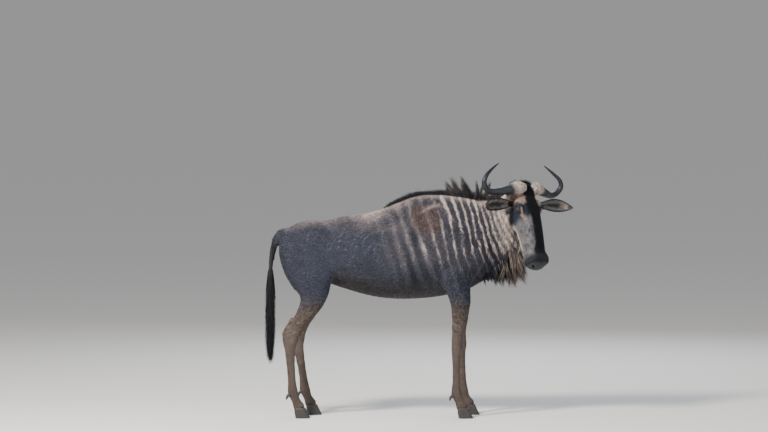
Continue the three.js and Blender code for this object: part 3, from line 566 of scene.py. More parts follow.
def striped(tint, points, out, rust, neck):
    """Dark brindle stripes that lean, wander and break, with thin pale glints of painted highlight between
    them.
    """
    x, _, z = points.T
    lean = 0.30 + 0.30 * soft(x, 0.5, 0.78)
    wander = 0.016 * cloud(points * [1, 0.6, 0.35], 0.09) + 0.006 * cloud(points, 0.03)
    streak = cloud(points * [1, 0.5, 0.16], 0.016, 6)
    phase = np.interp(x + lean * (z - 1.2) + wander, stripe_line, stripe_count)
    wave = np.cos(2 * math.pi * phase + 1.8 * cloud(points * [1, 0.5, 0.3], 0.15, 2))
    lower_neck = soft(x, 0.25, 0.45) * soft(-z, -1.1, -0.95)
    limit = -0.12 + 0.62 * neck - 0.4 * lower_neck + 0.55 * cloud(points * [1, 0.5, 0.4], 0.09, 3)
    dark = soft(wave + 0.35 * streak, limit - 0.45, limit + 0.45)
    where = soft(x, -0.36, 0.2) * soft(z, 0.72, 0.9)
    where = where * (0.72 + 0.35 * cloud(points * [1, 0.6, 0.5], 0.08, 5))
    where = where * (1 - 0.7 * rust) * (1 - 0.85 * soft(out[:, 2], 0.55, 0.88))
    tint = painted(STRIPE_DARK, tint, np.clip(dark * where, 0, 1) * (0.95 - 0.1 * neck))
    # Painted highlights: thin pale glints between the dark stripes, on the upper shoulder.
    broken = 0.4 * cloud(points * [1, 0.5, 0.3], 0.11, 10)
    glint = soft(-wave - 0.4 * streak + broken, 0.45, 1.0) * (1 - neck)
    glint *= soft(x, -0.05, 0.35) * soft(z, 0.93, 1.12) * (1 - 0.8 * rust)
    return painted(STRIPE_PALE_AND_HIGHLIGHT, tint, 0.75 * glint)


def trunk_colours(points, out):
    """Slate hide, tan along the back and lighter on its top as painted sunlight, with a rusty shoulder, tan
    legs and black crest and dock.
    """
    x, y, z = points.T
    # Painted sunlight: the back is lighter where it faces up, partly from its tan hair and partly from
    # painted light.
    tan_and_sunlit_top = soft(out[:, 2] + 0.15 * cloud(points, 0.08, 8), 0.5, 0.92) * soft(z, 1.12, 1.25)
    tint = painted(TAN_AND_SUNLIT_BACK, np.tile(SLATE, (len(points), 1)), tan_and_sunlit_top * (0.2 + 0.8 * soft(x, -0.3, 0.0)))
    tint = painted(SHOULDER_PALE, tint, 0.6 * soft(x, -0.15, 0.05) * soft(z, 0.85, 1.05))
    rust = np.hypot((x - RUST_X) / RUST_LONG, (z - RUST_Z) / RUST_TALL)
    rust = 1 - soft(rust + 0.3 * cloud(points * [1, 1, 0.5], 0.045), 0.55, 1.15)
    tint = painted(RUST, tint, 0.85 * rust * (1 - soft(out[:, 2], 0.55, 0.9)))
    tint = painted(BELLY, tint, 0.8 * soft(-out[:, 2], 0.3, 0.8) * soft(z, 0.7, 0.8))
    tint = painted(LEG_TAN, tint, 0.85 * soft(-z, -0.80, -0.62))
    neck = soft(x + 0.25 * (z - 1.2), 0.55, 0.70) * soft(z, 0.98, 1.12)
    tint = painted(STRIPE_PALE_AND_HIGHLIGHT, tint, 0.9 * neck)
    tint = striped(tint, points, out, rust, neck)
    throat = soft(x, 0.5, 0.7) * soft(-z, -1.02, -0.9)
    tint = painted(STRIPE_DARK, tint, 0.7 * throat)
    crest = (1 - soft(np.abs(y + 0.02 * soft(x, 0.5, 0.8)), 0.01, 0.026)) * soft(out[:, 2], 0.5, 0.9)
    tint = painted(BLACK_HAIR_AND_SHADE, tint, crest * soft(x, -0.1, -0.02))
    return painted(BLACK_HAIR_AND_SHADE, tint, soft(-x, 0.745, 0.76) * (1 - soft(np.abs(y), 0.04, 0.055)))


def head_colours(points, out, mottle):
    """Painted cheek shadow, grey sides, tan brows and cheek bones, black blaze, dark nose, painted shade in
    nostrils and mouth line.
    """
    d, side, up = head_coordinates(points).T
    side = np.abs(side)
    # Painted shadow: dark slate over the cheeks, above and behind the angle of the jaw.
    cheek = 1 - soft(d + 0.25 * (up + 0.08), 0.2, 0.25)
    tint = painted(CHEEK_SHADOW, np.tile(FACE_GREY, (len(points), 1)), cheek)
    tint = painted(JAW_PALE, tint, soft(-up, 0.10, 0.13) * soft(d, 0.2, 0.25) * (1 - soft(d, 0.38, 0.43)))
    blotch = soft(mottle + 0.6 * cloud(points, 0.03, 14), 0.0, 0.6)
    tint = painted(MUZZLE_DARK, tint, 0.6 * blotch * soft(d, 0.2, 0.3))
    half = 0.040 - 0.014 * soft(d, 0.12, 0.22) + 0.012 * soft(d, 0.36, 0.44)
    blaze = soft(out @ browward, 0.45, 0.75) * (1 - soft(side - half, 0.0, 0.012))
    tint = painted(BLACK_HAIR_AND_SHADE, tint, blaze * soft(d, -0.1, 0.0))
    brow = np.hypot((d - BROW_D) / BROW_LONG, (side - BROW_SIDE) / BROW_WIDE)
    brow = 1 - soft(brow + 0.2 * mottle, 0.7, 1.1)
    tint = painted(BROW_TAN, tint, brow * (0.85 + 0.3 * mottle))
    along = np.clip((d - CHEEK_BONE_D) / CHEEK_BONE_LONG, 0, 1)
    ridge = np.hypot(d - CHEEK_BONE_D - CHEEK_BONE_LONG * along, side - CHEEK_BONE_SIDE + 0.022 * along)
    tint = painted(BROW_TAN, tint, 0.8 * (1 - soft(ridge, 0.003, 0.009)))
    tint = painted(MUZZLE_DARK, tint, soft(d, 0.43, 0.47))
    tint = painted(FACE_GREY, tint, 0.35 * soft(d, 0.44, 0.48) * soft(-up, 0.108, 0.125))
    tint = painted(NOSE_SKIN, tint, 0.9 * soft(d, 0.475, 0.505))
    # Painted shade: black in the pressed-in nostrils and along the crease of the mouth.
    nostril, mouth = pressed_in(points)
    return painted(BLACK_HAIR_AND_SHADE, tint, np.maximum(nostril, 0.8 * mouth))


def markings(points, out, face):
    """The colours of the hide at points with their way out, where face is 1 on the head."""
    mottle = cloud(points, 0.012, 7)
    tint = trunk_colours(points, out)
    tint = tint + (head_colours(points, out, mottle) - tint) * face[:, None]
    return np.clip(tint * (1 + 0.16 * cloud(points, 0.035, 9) + 0.1 * mottle)[:, None], 0, 1)


skin_face = 1 - soft(blended(skin_at, head_masses)[0], 0.001, 0.008)
skin_tint = markings(skin_at, skin_out, skin_face)


def paint_attribute(mesh, name, colours):
    found = mesh.attributes.new(name, "FLOAT_VECTOR", "POINT")
    found.data.foreach_set("vector", np.asarray(colours, np.float32).ravel())


def node(tree, kind, values=None, **choices):
    """A node with its choices, such as its operation, and values for some of its inputs."""
    made = tree.nodes.new(kind)
    for choice, value in choices.items():
        setattr(made, choice, value)
    for socket, value in (values or {}).items():
        made.inputs[socket].default_value = value
    return made


def wire(tree, *wires):
    """Joins nodes. Each wire is a node, its output, the node that it feeds and that one's input."""
    for source, output, fed, socket in wires:
        tree.links.new(source.outputs[output], fed.inputs[socket])


def hide_material(name, streak, strength, roughness):
    """Hair in the colours of the markings, with streaks in its colour and in its relief."""
    material, tree, shader = new_material(
        name, {"Roughness": roughness, "Sheen Weight": 0.05, "Specular IOR Level": 0.35})
    tint = node(tree, "ShaderNodeAttribute", attribute_name="tint")
    where = node(tree, "ShaderNodeTexCoord")
    stretch = node(tree, "ShaderNodeMapping", {"Rotation": (0, math.radians(-14), 0), "Scale": streak})
    hairs = node(tree, "ShaderNodeTexNoise", {"Scale": 1.0, "Detail": 4.0})
    light = node(tree, "ShaderNodeMapRange",
                 {"From Min": 0.3, "From Max": 0.7, "To Min": 0.62, "To Max": 1.38})
    shade = node(tree, "ShaderNodeVectorMath", operation="SCALE")
    relief = node(tree, "ShaderNodeBump", {"Strength": strength, "Distance": 0.002})
    wire(tree,
         (where, "Object", stretch, "Vector"), (stretch, "Vector", hairs, "Vector"),
         (hairs, "Fac", light, "Value"), (tint, "Vector", shade, 0),
         (light, "Result", shade, "Scale"), (shade, "Vector", shader, "Base Color"),
         (hairs, "Fac", relief, "Height"), (relief, "Normal", shader, "Normal"))
    return material


paint_attribute(skin_mesh, "tint", skin_tint * 0.8)
skin_mesh.vertices.foreach_set("co", (skin_at + place).ravel())
skin_mesh.update()
shade_smooth(skin_mesh)
skin_mesh.materials.append(hide_material("short_hair_hide", (420, 420, 70), 0.5, 0.62))
skin = added("skin", skin_mesh)
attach(skin, "root")
FLESH = ["torso", "neck", "head", "tail"] + [
    f"{part}_{end}_{hand}"
    for part in ("leg", "cannon") for end in ("fore", "hind") for hand in ("left", "right")]
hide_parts(*FLESH)

# EYES
# Dark brown wet eyeballs under thick lids, set into the sockets of the hide.
EYE_SIDES, EYE_LEVELS = 40, 24
HANDS = (("left", 1), ("right", -1))


def tube_faces(rings, sides, start=0):
    """Faces of a tube of rings, without its ends."""
    at = start + np.arange((rings - 1) * sides).reshape(rings - 1, sides)
    onward = np.roll(at, -1, axis=1)
    return np.stack([at, onward, onward + sides, at + sides], axis=-1).reshape(-1, 4)


def closed_tube(name, rings, first, last):
    """A mesh of rings of points, closed on a point at each end, with its faces out."""
    rings = np.asarray(rings)
    count, sides = rings.shape[:2]
    points = np.vstack([rings.reshape(-1, 3), first, last])
    walls = tube_faces(count, sides)
    a = np.arange(sides)
    b = np.roll(a, -1)
    far = (count - 1) * sides
    caps = np.vstack([
        np.column_stack([b, a, np.full(sides, count * sides)]),
        np.column_stack([far + a, far + b, np.full(sides, count * sides + 1)])])
    mesh = bpy.data.meshes.new(name)
    mesh.from_pydata(points.tolist(), [], walls.tolist() + caps.tolist())
    face_outwards(mesh)
    shade_smooth(mesh)
    return mesh


def face_outwards(mesh):
    work = bmesh.new()
    work.from_mesh(mesh)
    bmesh.ops.recalc_face_normals(work, faces=work.faces)
    work.to_mesh(mesh)
    work.free()


def store_shares(mesh, name, shares):
    """One number on each point, for a material to read."""
    found = mesh.attributes.new(name, "FLOAT", "POINT")
    found.data.foreach_set("value", np.asarray(shares, np.float32))


def put(name, mesh, material, replaced):
    """A finished piece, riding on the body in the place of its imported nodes."""
    mesh.materials.append(material)
    obj = added(name, mesh)
    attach(obj, "root")
    if replaced:
        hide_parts(*replaced)


def colour_ramp(tree, *stops):
    """A ramp of colours through stops, each a place from 0 to 1 and its colour."""
    ramp = tree.nodes.new("ShaderNodeValToRGB")
    marks = ramp.color_ramp.elements
    marks[0].position, marks[1].position = stops[0][0], stops[-1][0]
    for stop, _ in stops[1:-1]:
        marks.new(stop)
    for mark, (_, colour) in zip(marks, stops):
        mark.color = (*colour, 1)
    return ramp


WET_BROWN, IRIS_BROWN, PUPIL_BLACK = (0.028, 0.015, 0.009), (0.075, 0.034, 0.015), (0.004, 0.003, 0.003)
eye_material, tree, shader = new_material("wet_eye", {"Roughness": 0.06, "Coat Weight": 0.6})
iris = node(tree, "ShaderNodeAttribute", attribute_name="gaze")
rings_of_eye = colour_ramp(tree, (0.74, WET_BROWN), (0.86, IRIS_BROWN), (0.93, PUPIL_BLACK))
wire(tree, (iris, "Fac", rings_of_eye, "Fac"), (rings_of_eye, "Color", shader, "Base Color"))
for name, hand in HANDS:
    centre = on_head(EYE_AT * [1, hand, 1]) + place
    gaze = eye_axes(hand)[0] @ head_axes
    across = np.cross(gaze, head_up)
    across /= np.linalg.norm(across)
    rise = np.cross(across, gaze)
    turns = np.linspace(0, 2 * math.pi, EYE_SIDES, endpoint=False)
    rim = np.outer(np.cos(turns), across) + np.outer(np.sin(turns), rise)
    rings = [
        centre + EYE_RADIUS * (gaze * math.cos(level) + rim * math.sin(level))
        for level in np.linspace(0, math.pi, EYE_LEVELS + 2)[1:-1]]
    mesh = closed_tube("eye_" + name, rings, centre + gaze * EYE_RADIUS, centre - gaze * EYE_RADIUS)
    store_shares(mesh, "gaze", (points_of(mesh) - centre) @ gaze / EYE_RADIUS)
    put("eyeball_" + name, mesh, eye_material, ["eye_" + name])

# HORNS
# Smooth hollow horns over bone cores, swelling into rounded, paler, scuffed bosses on the crown.
# Rows are left, ahead and up of the crown, and half-sizes ahead and up, in millimetres.
horn_rows = [
    [16, -4, -30, 26, 18], [40, -2, -20, 44, 35], [70, -2, -17, 48, 39], [100, -4, -22, 42, 35],
    [135, -10, -33, 34, 29], [190, -30, -47, 27, 24], [245, -46, -52, 22, 21],
    [288, -47, -34, 18.5, 18], [311, -40, 4, 15.5, 15.5], [296, -41, 46, 12.5, 12.5],
    [248, -54, 86, 9, 9], [188, -64, 126, 3.5, 3.5]]
HORN_SIDES = 44
BOSS_LUMPS = 2.8 * MM


def sections(centres, half_sizes, side, sides):
    """Elliptic rings of points along a line, lying across it."""
    run = np.vstack([centres[1:], centres[-1:]]) - np.vstack([centres[:1], centres[:-1]])
    run /= np.linalg.norm(run, axis=1)[:, None]
    up = np.cross(run, side)
    up /= np.linalg.norm(up, axis=1)[:, None]
    across = np.cross(up, run)
    turns = np.linspace(0, 2 * math.pi, sides, endpoint=False)
    return (
        centres[:, None]
        + across[:, None] * (half_sizes[:, :1] * np.cos(turns))[:, :, None]
        + up[:, None] * (half_sizes[:, 1:] * np.sin(turns))[:, :, None])


BOSS_ROOT, BOSS_CREAM, BOSS_WORN = (0.02, 0.017, 0.018), (0.36, 0.295, 0.262), (0.20, 0.16, 0.145)
HORN_BLACK = (0.012, 0.014, 0.021)
horn_material, tree, shader = new_material("horn", {"Specular IOR Level": 0.4})
along = node(tree, "ShaderNodeAttribute", attribute_name="along")
where = node(tree, "ShaderNodeTexCoord")
scuffs = node(tree, "ShaderNodeTexNoise", {"Scale": 70, "Detail": 6})
edge = node(tree, "ShaderNodeMath", {1: 0.08}, operation="MULTIPLY_ADD")
boss_to_tip = colour_ramp(
    tree, (0.06, BOSS_ROOT), (0.082, BOSS_CREAM), (0.205, BOSS_CREAM), (0.232, BOSS_WORN),
    (0.255, HORN_BLACK))
scuffed = node(tree, "ShaderNodeVectorMath", operation="SCALE")
wear = node(tree, "ShaderNodeMapRange", {"From Min": 0.3, "From Max": 0.75, "To Min": 0.35, "To Max": 1.5})
grain = node(tree, "ShaderNodeBump", {"Strength": 0.35, "Distance": 0.0015})
dull = node(tree, "ShaderNodeMapRange", {"From Min": 0.12, "From Max": 0.3, "To Min": 0.72, "To Max": 0.48})
wire(tree,
     (where, "Object", scuffs, "Vector"), (scuffs, "Fac", edge, 0), (along, "Fac", edge, 2),
     (edge, "Value", boss_to_tip, "Fac"), (scuffs, "Fac", wear, "Value"),
     (boss_to_tip, "Color", scuffed, 0), (wear, "Result", scuffed, "Scale"),
     (scuffed, "Vector", shader, "Base Color"), (along, "Fac", dull, "Value"),
     (dull, "Result", shader, "Roughness"), (scuffs, "Fac", grain, "Height"),
     (grain, "Normal", shader, "Normal"))
for name, hand in HANDS:
    fine = smooth_rows(horn_rows, 10)
    centres = np.array([beside_crown(r[0] * hand, r[1], r[2]) for r in fine * MM]) + place
    rings = sections(centres, fine[:, 3:] * MM, ahead, HORN_SIDES)
    far = np.concatenate([[0], np.cumsum(np.linalg.norm(np.diff(centres, axis=0), axis=1))])
    far /= far[-1]
    lumps = (rings - place).reshape(-1, 3)
    swell = (cloud(lumps, 0.022, 4) + 0.7 * cloud(lumps, 0.008, 15)).reshape(rings.shape[:2])
    rough_boss = BOSS_LUMPS * (1 - soft(far, 0.18, 0.26))[:, None] * swell
    spokes = rings - centres[:, None]
    rings = rings + spokes / np.linalg.norm(spokes, axis=2)[..., None] * rough_boss[..., None]
    tip = centres[-1] + (centres[-1] - centres[-2]) * 2.2
    mesh = closed_tube("horn_" + name, rings, centres[0], tip)
    store_shares(mesh, "along", np.concatenate([np.repeat(far, HORN_SIDES), [0, 1]]))
    put("horn_shell_" + name, mesh, horn_material, ["horn_" + name])

# EARS
# Leaf-shaped cups of gristle and hide, open to the front, with a dark rim and tip.
# Rows are the share of the length, the width in millimetres and the angle that the cup wraps.
EAR_LENGTH, EAR_WALL, EAR_SAG = 262 * MM, 4 * MM, 8 * MM
EAR_ROOT = np.array([96, -14, -121]) * MM
EAR_FORWARD = 0.24
EAR_LIFT = {1: -0.01, -1: -0.1}
ear_rows = [
    [0, 40, 2.4], [0.14, 44, 2.1], [0.28, 62, 1.6], [0.42, 78, 1.3], [0.58, 82, 1.1],
    [0.74, 72, 0.95], [0.88, 48, 0.8], [0.97, 22, 0.7], [1, 7, 0.6]]
EAR_COLUMNS = 26
EAR_BACK = (0.15, 0.12, 0.105)
EAR_INSIDE = (0.022, 0.019, 0.021)
EAR_BUFF = (0.34, 0.26, 0.21)
ear_hide = hide_material("ear_hide", (500, 500, 500), 0.35, 0.6)
ears = {}
for name, hand in HANDS:
    root = beside_crown(*(EAR_ROOT * [hand, 1, 1]))
    out = head_left * hand + ahead * EAR_FORWARD + head_up * EAR_LIFT[hand]
    out /= np.linalg.norm(out)
    face = ahead - out * (ahead @ out)
    face /= np.linalg.norm(face)
    tall = np.cross(out, face)
    share = np.abs(np.linspace(-1, 1, EAR_COLUMNS))
    rings, tints = [], []
    for t, width, wrap in smooth_rows(ear_rows, 5):
        radius = width * MM / 2 / math.sin(min(wrap, math.pi / 2))
        centre = root + out * EAR_LENGTH * t - tall * EAR_SAG * hand * math.sin(math.pi * t)
        angles = np.linspace(-wrap, wrap, EAR_COLUMNS)
        wall = min(EAR_WALL, radius * 0.5) * (1 - 0.75 * share**6)
        ring = []
        for r, order in ((np.full(EAR_COLUMNS, radius), 1), (radius - wall, -1)):
            arc = centre + np.outer(r * np.sin(angles), tall) - np.outer(r * np.cos(angles), face)
            ring.append(arc[::order])
        rings.append(np.vstack(ring))
        tip = np.full(EAR_COLUMNS, t)
        rim = np.maximum(soft(share, 0.72, 0.92), soft(tip, 0.86, 0.95))
        back = painted(BLACK_HAIR_AND_SHADE, np.tile(EAR_BACK, (EAR_COLUMNS, 1)), 0.85 * rim)
        buff = soft(tip, 0.66, 0.76) * (1 - soft(tip, 0.86, 0.92)) * (1 - soft(share, 0.5, 0.8))
        inside = painted(EAR_BUFF, np.tile(EAR_INSIDE, (EAR_COLUMNS, 1)), (0.5 + 0.3 * hand) * buff)
        tints += [back, inside[::-1]]
    rings = np.array(rings)
    mesh = closed_tube("ear_" + name, rings + place, rings[0].mean(0) + place, rings[-1].mean(0) + place)
    paint_attribute(mesh, "tint", np.vstack(tints + [[EAR_BACK], [BLACK_HAIR_AND_SHADE]]))
    put("ear_cup_" + name, mesh, ear_hide, ["ear_" + name])
    ears[hand] = (root, out, face, tall)

# HOOVES
# Two dark horny claws on each foot, flat below, and two small dew claws behind each fetlock.
CLAW_LENGTH, CLAW_WIDTH, CLAW_SPLIT = 98 * MM, 37 * MM, 4 * MM
CLAW_SIDES = 36
HOOF_BLACK, HOOF_BROWN = (0.020, 0.018, 0.018), (0.042, 0.036, 0.032)
hoof_material, tree, shader = new_material("hoof_horn", {"Roughness": 0.45})
where = node(tree, "ShaderNodeTexCoord")
bands = node(tree, "ShaderNodeTexWave", {"Scale": 38, "Distortion": 6, "Detail": 3}, bands_direction="Z")
growth = colour_ramp(tree, (0, HOOF_BLACK), (1, HOOF_BROWN))
grain = node(tree, "ShaderNodeBump", {"Strength": 0.15, "Distance": 0.001})
wire(tree,
     (where, "Object", bands, "Vector"), (bands, "Fac", growth, "Fac"),
     (growth, "Color", shader, "Base Color"), (bands, "Fac", grain, "Height"),
     (grain, "Normal", shader, "Normal"))
# Each claw's rows are height, how wide it is there and how far ahead, in millimetres from the sole.
claw_rows = [
    (0, 1, 20), (2, 1.03, 20), (5, 1.02, 19), (16, 0.98, 15), (30, 0.93, 10), (46, 0.86, 6),
    (CORONET - 4, 0.81, 3), (CORONET + 2, 0.74, 2)]
dew_claw_rows = [
    [-14, 13, -2, 11, 9], [-30, 16, -12, 11, 9], [-40, 18, -28, 8, 7], [-42, 19, -40, 3, 3]]
DEW_SIDES = 14
PASTERN_ROW, FETLOCK_ROW = -2, -4
turns = np.linspace(0, 2 * math.pi, CLAW_SIDES, endpoint=False)
c, s = np.cos(turns), np.sin(turns)
dew_rings = []
for leg, (_, hand, _) in legs.items():
    x, y = leg_rows[leg][PASTERN_ROW][:2] * MM
    for label, side in (("inner", -hand), ("outer", hand)):
        rings = []
        for z, grow, lean in claw_rows:
            across = y + side * (CLAW_SPLIT / 2 + CLAW_WIDTH * grow / 2)
            long = np.where(c > 0, CLAW_LENGTH / 2, CLAW_LENGTH / 2.5) * grow * c
            wide = np.clip(s * 1.25, -1, 1) * CLAW_WIDTH * grow / 2 * np.where(s * side > 0, 1, 0.86)
            rings.append(np.column_stack([x + lean * MM + long, across + wide, np.full(CLAW_SIDES, z * MM)]))
        rings = np.array(rings) + place
        mesh = closed_tube("claw", rings, rings[0].mean(0), rings[-1].mean(0))
        put(f"hoof_{leg}_{label}", mesh, hoof_material, [f"claw_{leg}_{label}"])
        line = smooth_rows(dew_claw_rows, 5)
        centres = (leg_rows[leg][FETLOCK_ROW][:3] + line[:, :3] * [1, side, 1]) * MM + place
        dew_rings.append(sections(centres, line[:, 3:] * MM, np.array([0.0, 1.0, 0.0]), DEW_SIDES))
count = len(dew_rings[0])
dew_faces = []
for first in np.arange(len(dew_rings)) * count * DEW_SIDES:
    last = first + (count - 1) * DEW_SIDES
    dew_faces += tube_faces(count, DEW_SIDES, first).tolist()
    dew_faces.append(list(range(first, first + DEW_SIDES))[::-1])
    dew_faces.append(list(range(last, last + DEW_SIDES)))
dew_mesh = bpy.data.meshes.new("dew_claws")
dew_mesh.from_pydata(np.vstack([r.reshape(-1, 3) for r in dew_rings]).tolist(), [], dew_faces)
face_outwards(dew_mesh)
put("dew_claws", dew_mesh, hoof_material, [])

# SHORT COAT
# Sleek short hair over the whole hide, lying back and down, in small tapered tufts.
# It is shortest on the face and feet, and each tuft has the colour of the hide at its root.
random = np.random.default_rng(11)
skin_mesh.calc_loop_triangles()
skin_triangles = np.zeros(len(skin_mesh.loop_triangles) * 3, np.int32)
skin_mesh.loop_triangles.foreach_get("vertices", skin_triangles)
skin_triangles = skin_triangles.reshape(-1, 3)
corners = skin_at[skin_triangles]
normals = np.cross(corners[:, 1] - corners[:, 0], corners[:, 2] - corners[:, 0])
triangle_area = np.linalg.norm(normals, axis=1) / 2
triangle_at = corners.mean(1)
triangle_out = skin_out[skin_triangles].mean(1)
triangle_face = skin_face[skin_triangles].mean(1)
trunk_middle = np.array([
    [-0.8, 0, 1.05], [0.52, 0, 1.13], [0.63, -0.008, 1.2], [0.71, -0.016, 1.27], [0.78, -0.04, 1.36]])


def middle_of(x):
    """The y and z of the middle of barrel and neck at x."""
    stations, ys, zs = trunk_middle.T
    return np.interp(x, stations, ys), np.interp(x, stations, zs)


def scatter(count, share):
    """Random roots on the hide, as many to an area as the share of each triangle says."""
    heap = np.cumsum(triangle_area * share)
    chosen = np.searchsorted(heap, random.random(count) * heap[-1])
    weights = random.dirichlet((1, 1, 1), count)[:, :, None]
    at = (skin_at[skin_triangles[chosen]] * weights).sum(1)
    out = (skin_out[skin_triangles[chosen]] * weights).sum(1)
    out /= np.linalg.norm(out, axis=1)[:, None]
    face = (skin_face[skin_triangles[chosen]] * weights[:, :, 0]).sum(1)
    return at, out, face


def unwrapped(at, face):
    """Each root's place on an unwrapping of the hide: trunk, then head, then the four legs."""
    y, z = middle_of(at[:, 0])
    around = np.arctan2(at[:, 1] - y, at[:, 2] - z) / (2 * math.pi) + 0.5
    flat = np.column_stack([0.01 + 0.97 * around, 0.01 + 0.53 * (at[:, 0] + 0.82) / 1.85])
    d, side, up = head_coordinates(at).T
    around = np.arctan2(side, -up - 0.09) / (2 * math.pi) + 0.5
    on_face = np.column_stack([0.01 + 0.97 * around, 0.57 + 0.2 * (d + 0.08) / 0.66])
    flat = np.where((face > 0.5)[:, None], on_face, flat)
    low = (at[:, 2] < 0.78) & (np.abs(at[:, 1]) > 0.03)
    for i, rows in enumerate(leg_rows.values()):
        before = at[:, 0] - np.interp(at[:, 2], rows[::-1, 2] * MM, rows[::-1, 0] * MM)
        beside = at[:, 1] - rows[-1, 1] * MM
        mine = low & (np.hypot(before, beside) < 0.16)
        around = np.arctan2(beside, before) / (2 * math.pi) + 0.5
        on_leg = np.column_stack([0.01 + 0.25 * i + 0.22 * around, 0.79 + 0.2 * at[:, 2] / 0.8])
        flat = np.where(mine[:, None], on_leg, flat)
    return np.clip(flat, 0.002, 0.995)


def unit(ways):
    return ways / (np.linalg.norm(ways, axis=1)[:, None] + 1e-9)


def hair_lie(at, out, face):
    """The way the hair lies: back and down, down the legs, and towards the nose on the face."""
    x, _, z = at.T
    forward = soft(x, -0.15, 0.35)[:, None]
    low = soft(-z, -0.85, -0.7)[:, None]
    way = np.array([-0.80, 0, -0.55]) * (1 - forward) + np.array([0.22, 0, -0.97]) * forward
    way = way * (1 - low) + np.array([-0.12, 0, -1]) * low
    way = way * (1 - face[:, None]) + (noseward - 0.25 * browward) * face[:, None]
    way = way + 0.22 * np.column_stack([cloud(at, 0.06, seed) for seed in (11, 12, 13)])
    way = way + 0.16 * random.normal(size=at.shape)
    return unit(way - out * np.sum(way * out, axis=1)[:, None])


def hair_material(name, roughness):
    """Hair in the colour at its root, darker below and lighter at its tip."""
    material, tree, shader = new_material(name, {"Roughness": roughness, "Specular IOR Level": 0.3})
    tint = node(tree, "ShaderNodeAttribute", attribute_name="tint")
    patch = node(tree, "ShaderNodeAttribute", attribute_name="patch")
    split = node(tree, "ShaderNodeSeparateXYZ")
    light = node(tree, "ShaderNodeMapRange", {"To Min": 0.72, "To Max": 1.2})
    shade = node(tree, "ShaderNodeVectorMath", operation="SCALE")
    where = node(tree, "ShaderNodeTexCoord")
    fine = node(tree, "ShaderNodeTexNoise", {"Scale": 260})
    relief = node(tree, "ShaderNodeBump", {"Strength": 0.35, "Distance": 0.001})
    wire(tree,
         (patch, "Vector", split, "Vector"), (split, "Y", light, "Value"), (tint, "Vector", shade, 0),
         (light, "Result", shade, "Scale"), (shade, "Vector", shader, "Base Color"),
         (where, "Object", fine, "Vector"), (fine, "Fac", relief, "Height"),
         (relief, "Normal", shader, "Normal"))
    return material


def tuft_shape(name, points, faces, patch):
    """One small tuft, lying along x with its upper side along z."""
    mesh = mesh_from(name, points, faces)
    paint_attribute(mesh, "patch", patch)
    return added(name, mesh)


bent_tuft = tuft_shape(
    "bent_tuft",
    [(-0.02, -0.5, -0.08), (-0.02, 0.5, -0.08), (-0.06, 0, 0.05), (0.45, -0.4, 0.09),
     (0.45, 0.4, 0.09), (0.42, 0, 0.18), (1, 0, 0.15)],
    [(0, 1, 2), (0, 3, 4), (0, 4, 1), (1, 4, 5), (1, 5, 2), (2, 5, 3), (2, 3, 0), (3, 6, 4),
     (4, 6, 5), (5, 6, 3)],
    [(0, 0, 0), (1, 0, 0), (0.5, 0, 0), (0.1, 0.45, 0), (0.9, 0.45, 0), (0.5, 0.45, 0), (0.5, 1, 0)])
spike_tuft = tuft_shape(
    "spike_tuft",
    [(-0.02, -0.5, -0.1), (-0.02, 0.5, -0.1), (-0.08, 0, 0.1), (1, 0, 0.2)],
    [(0, 1, 2), (0, 3, 1), (1, 3, 2), (2, 3, 0)],
    [(0, 0, 0), (1, 0, 0), (0.5, 0, 0), (0.5, 1, 0)])


def open_socket(sockets, name):
    """Which of a node's sockets has this name and takes the node's kind of data."""
    return [i for i, socket in enumerate(sockets) if socket.enabled and socket.name == name][0]


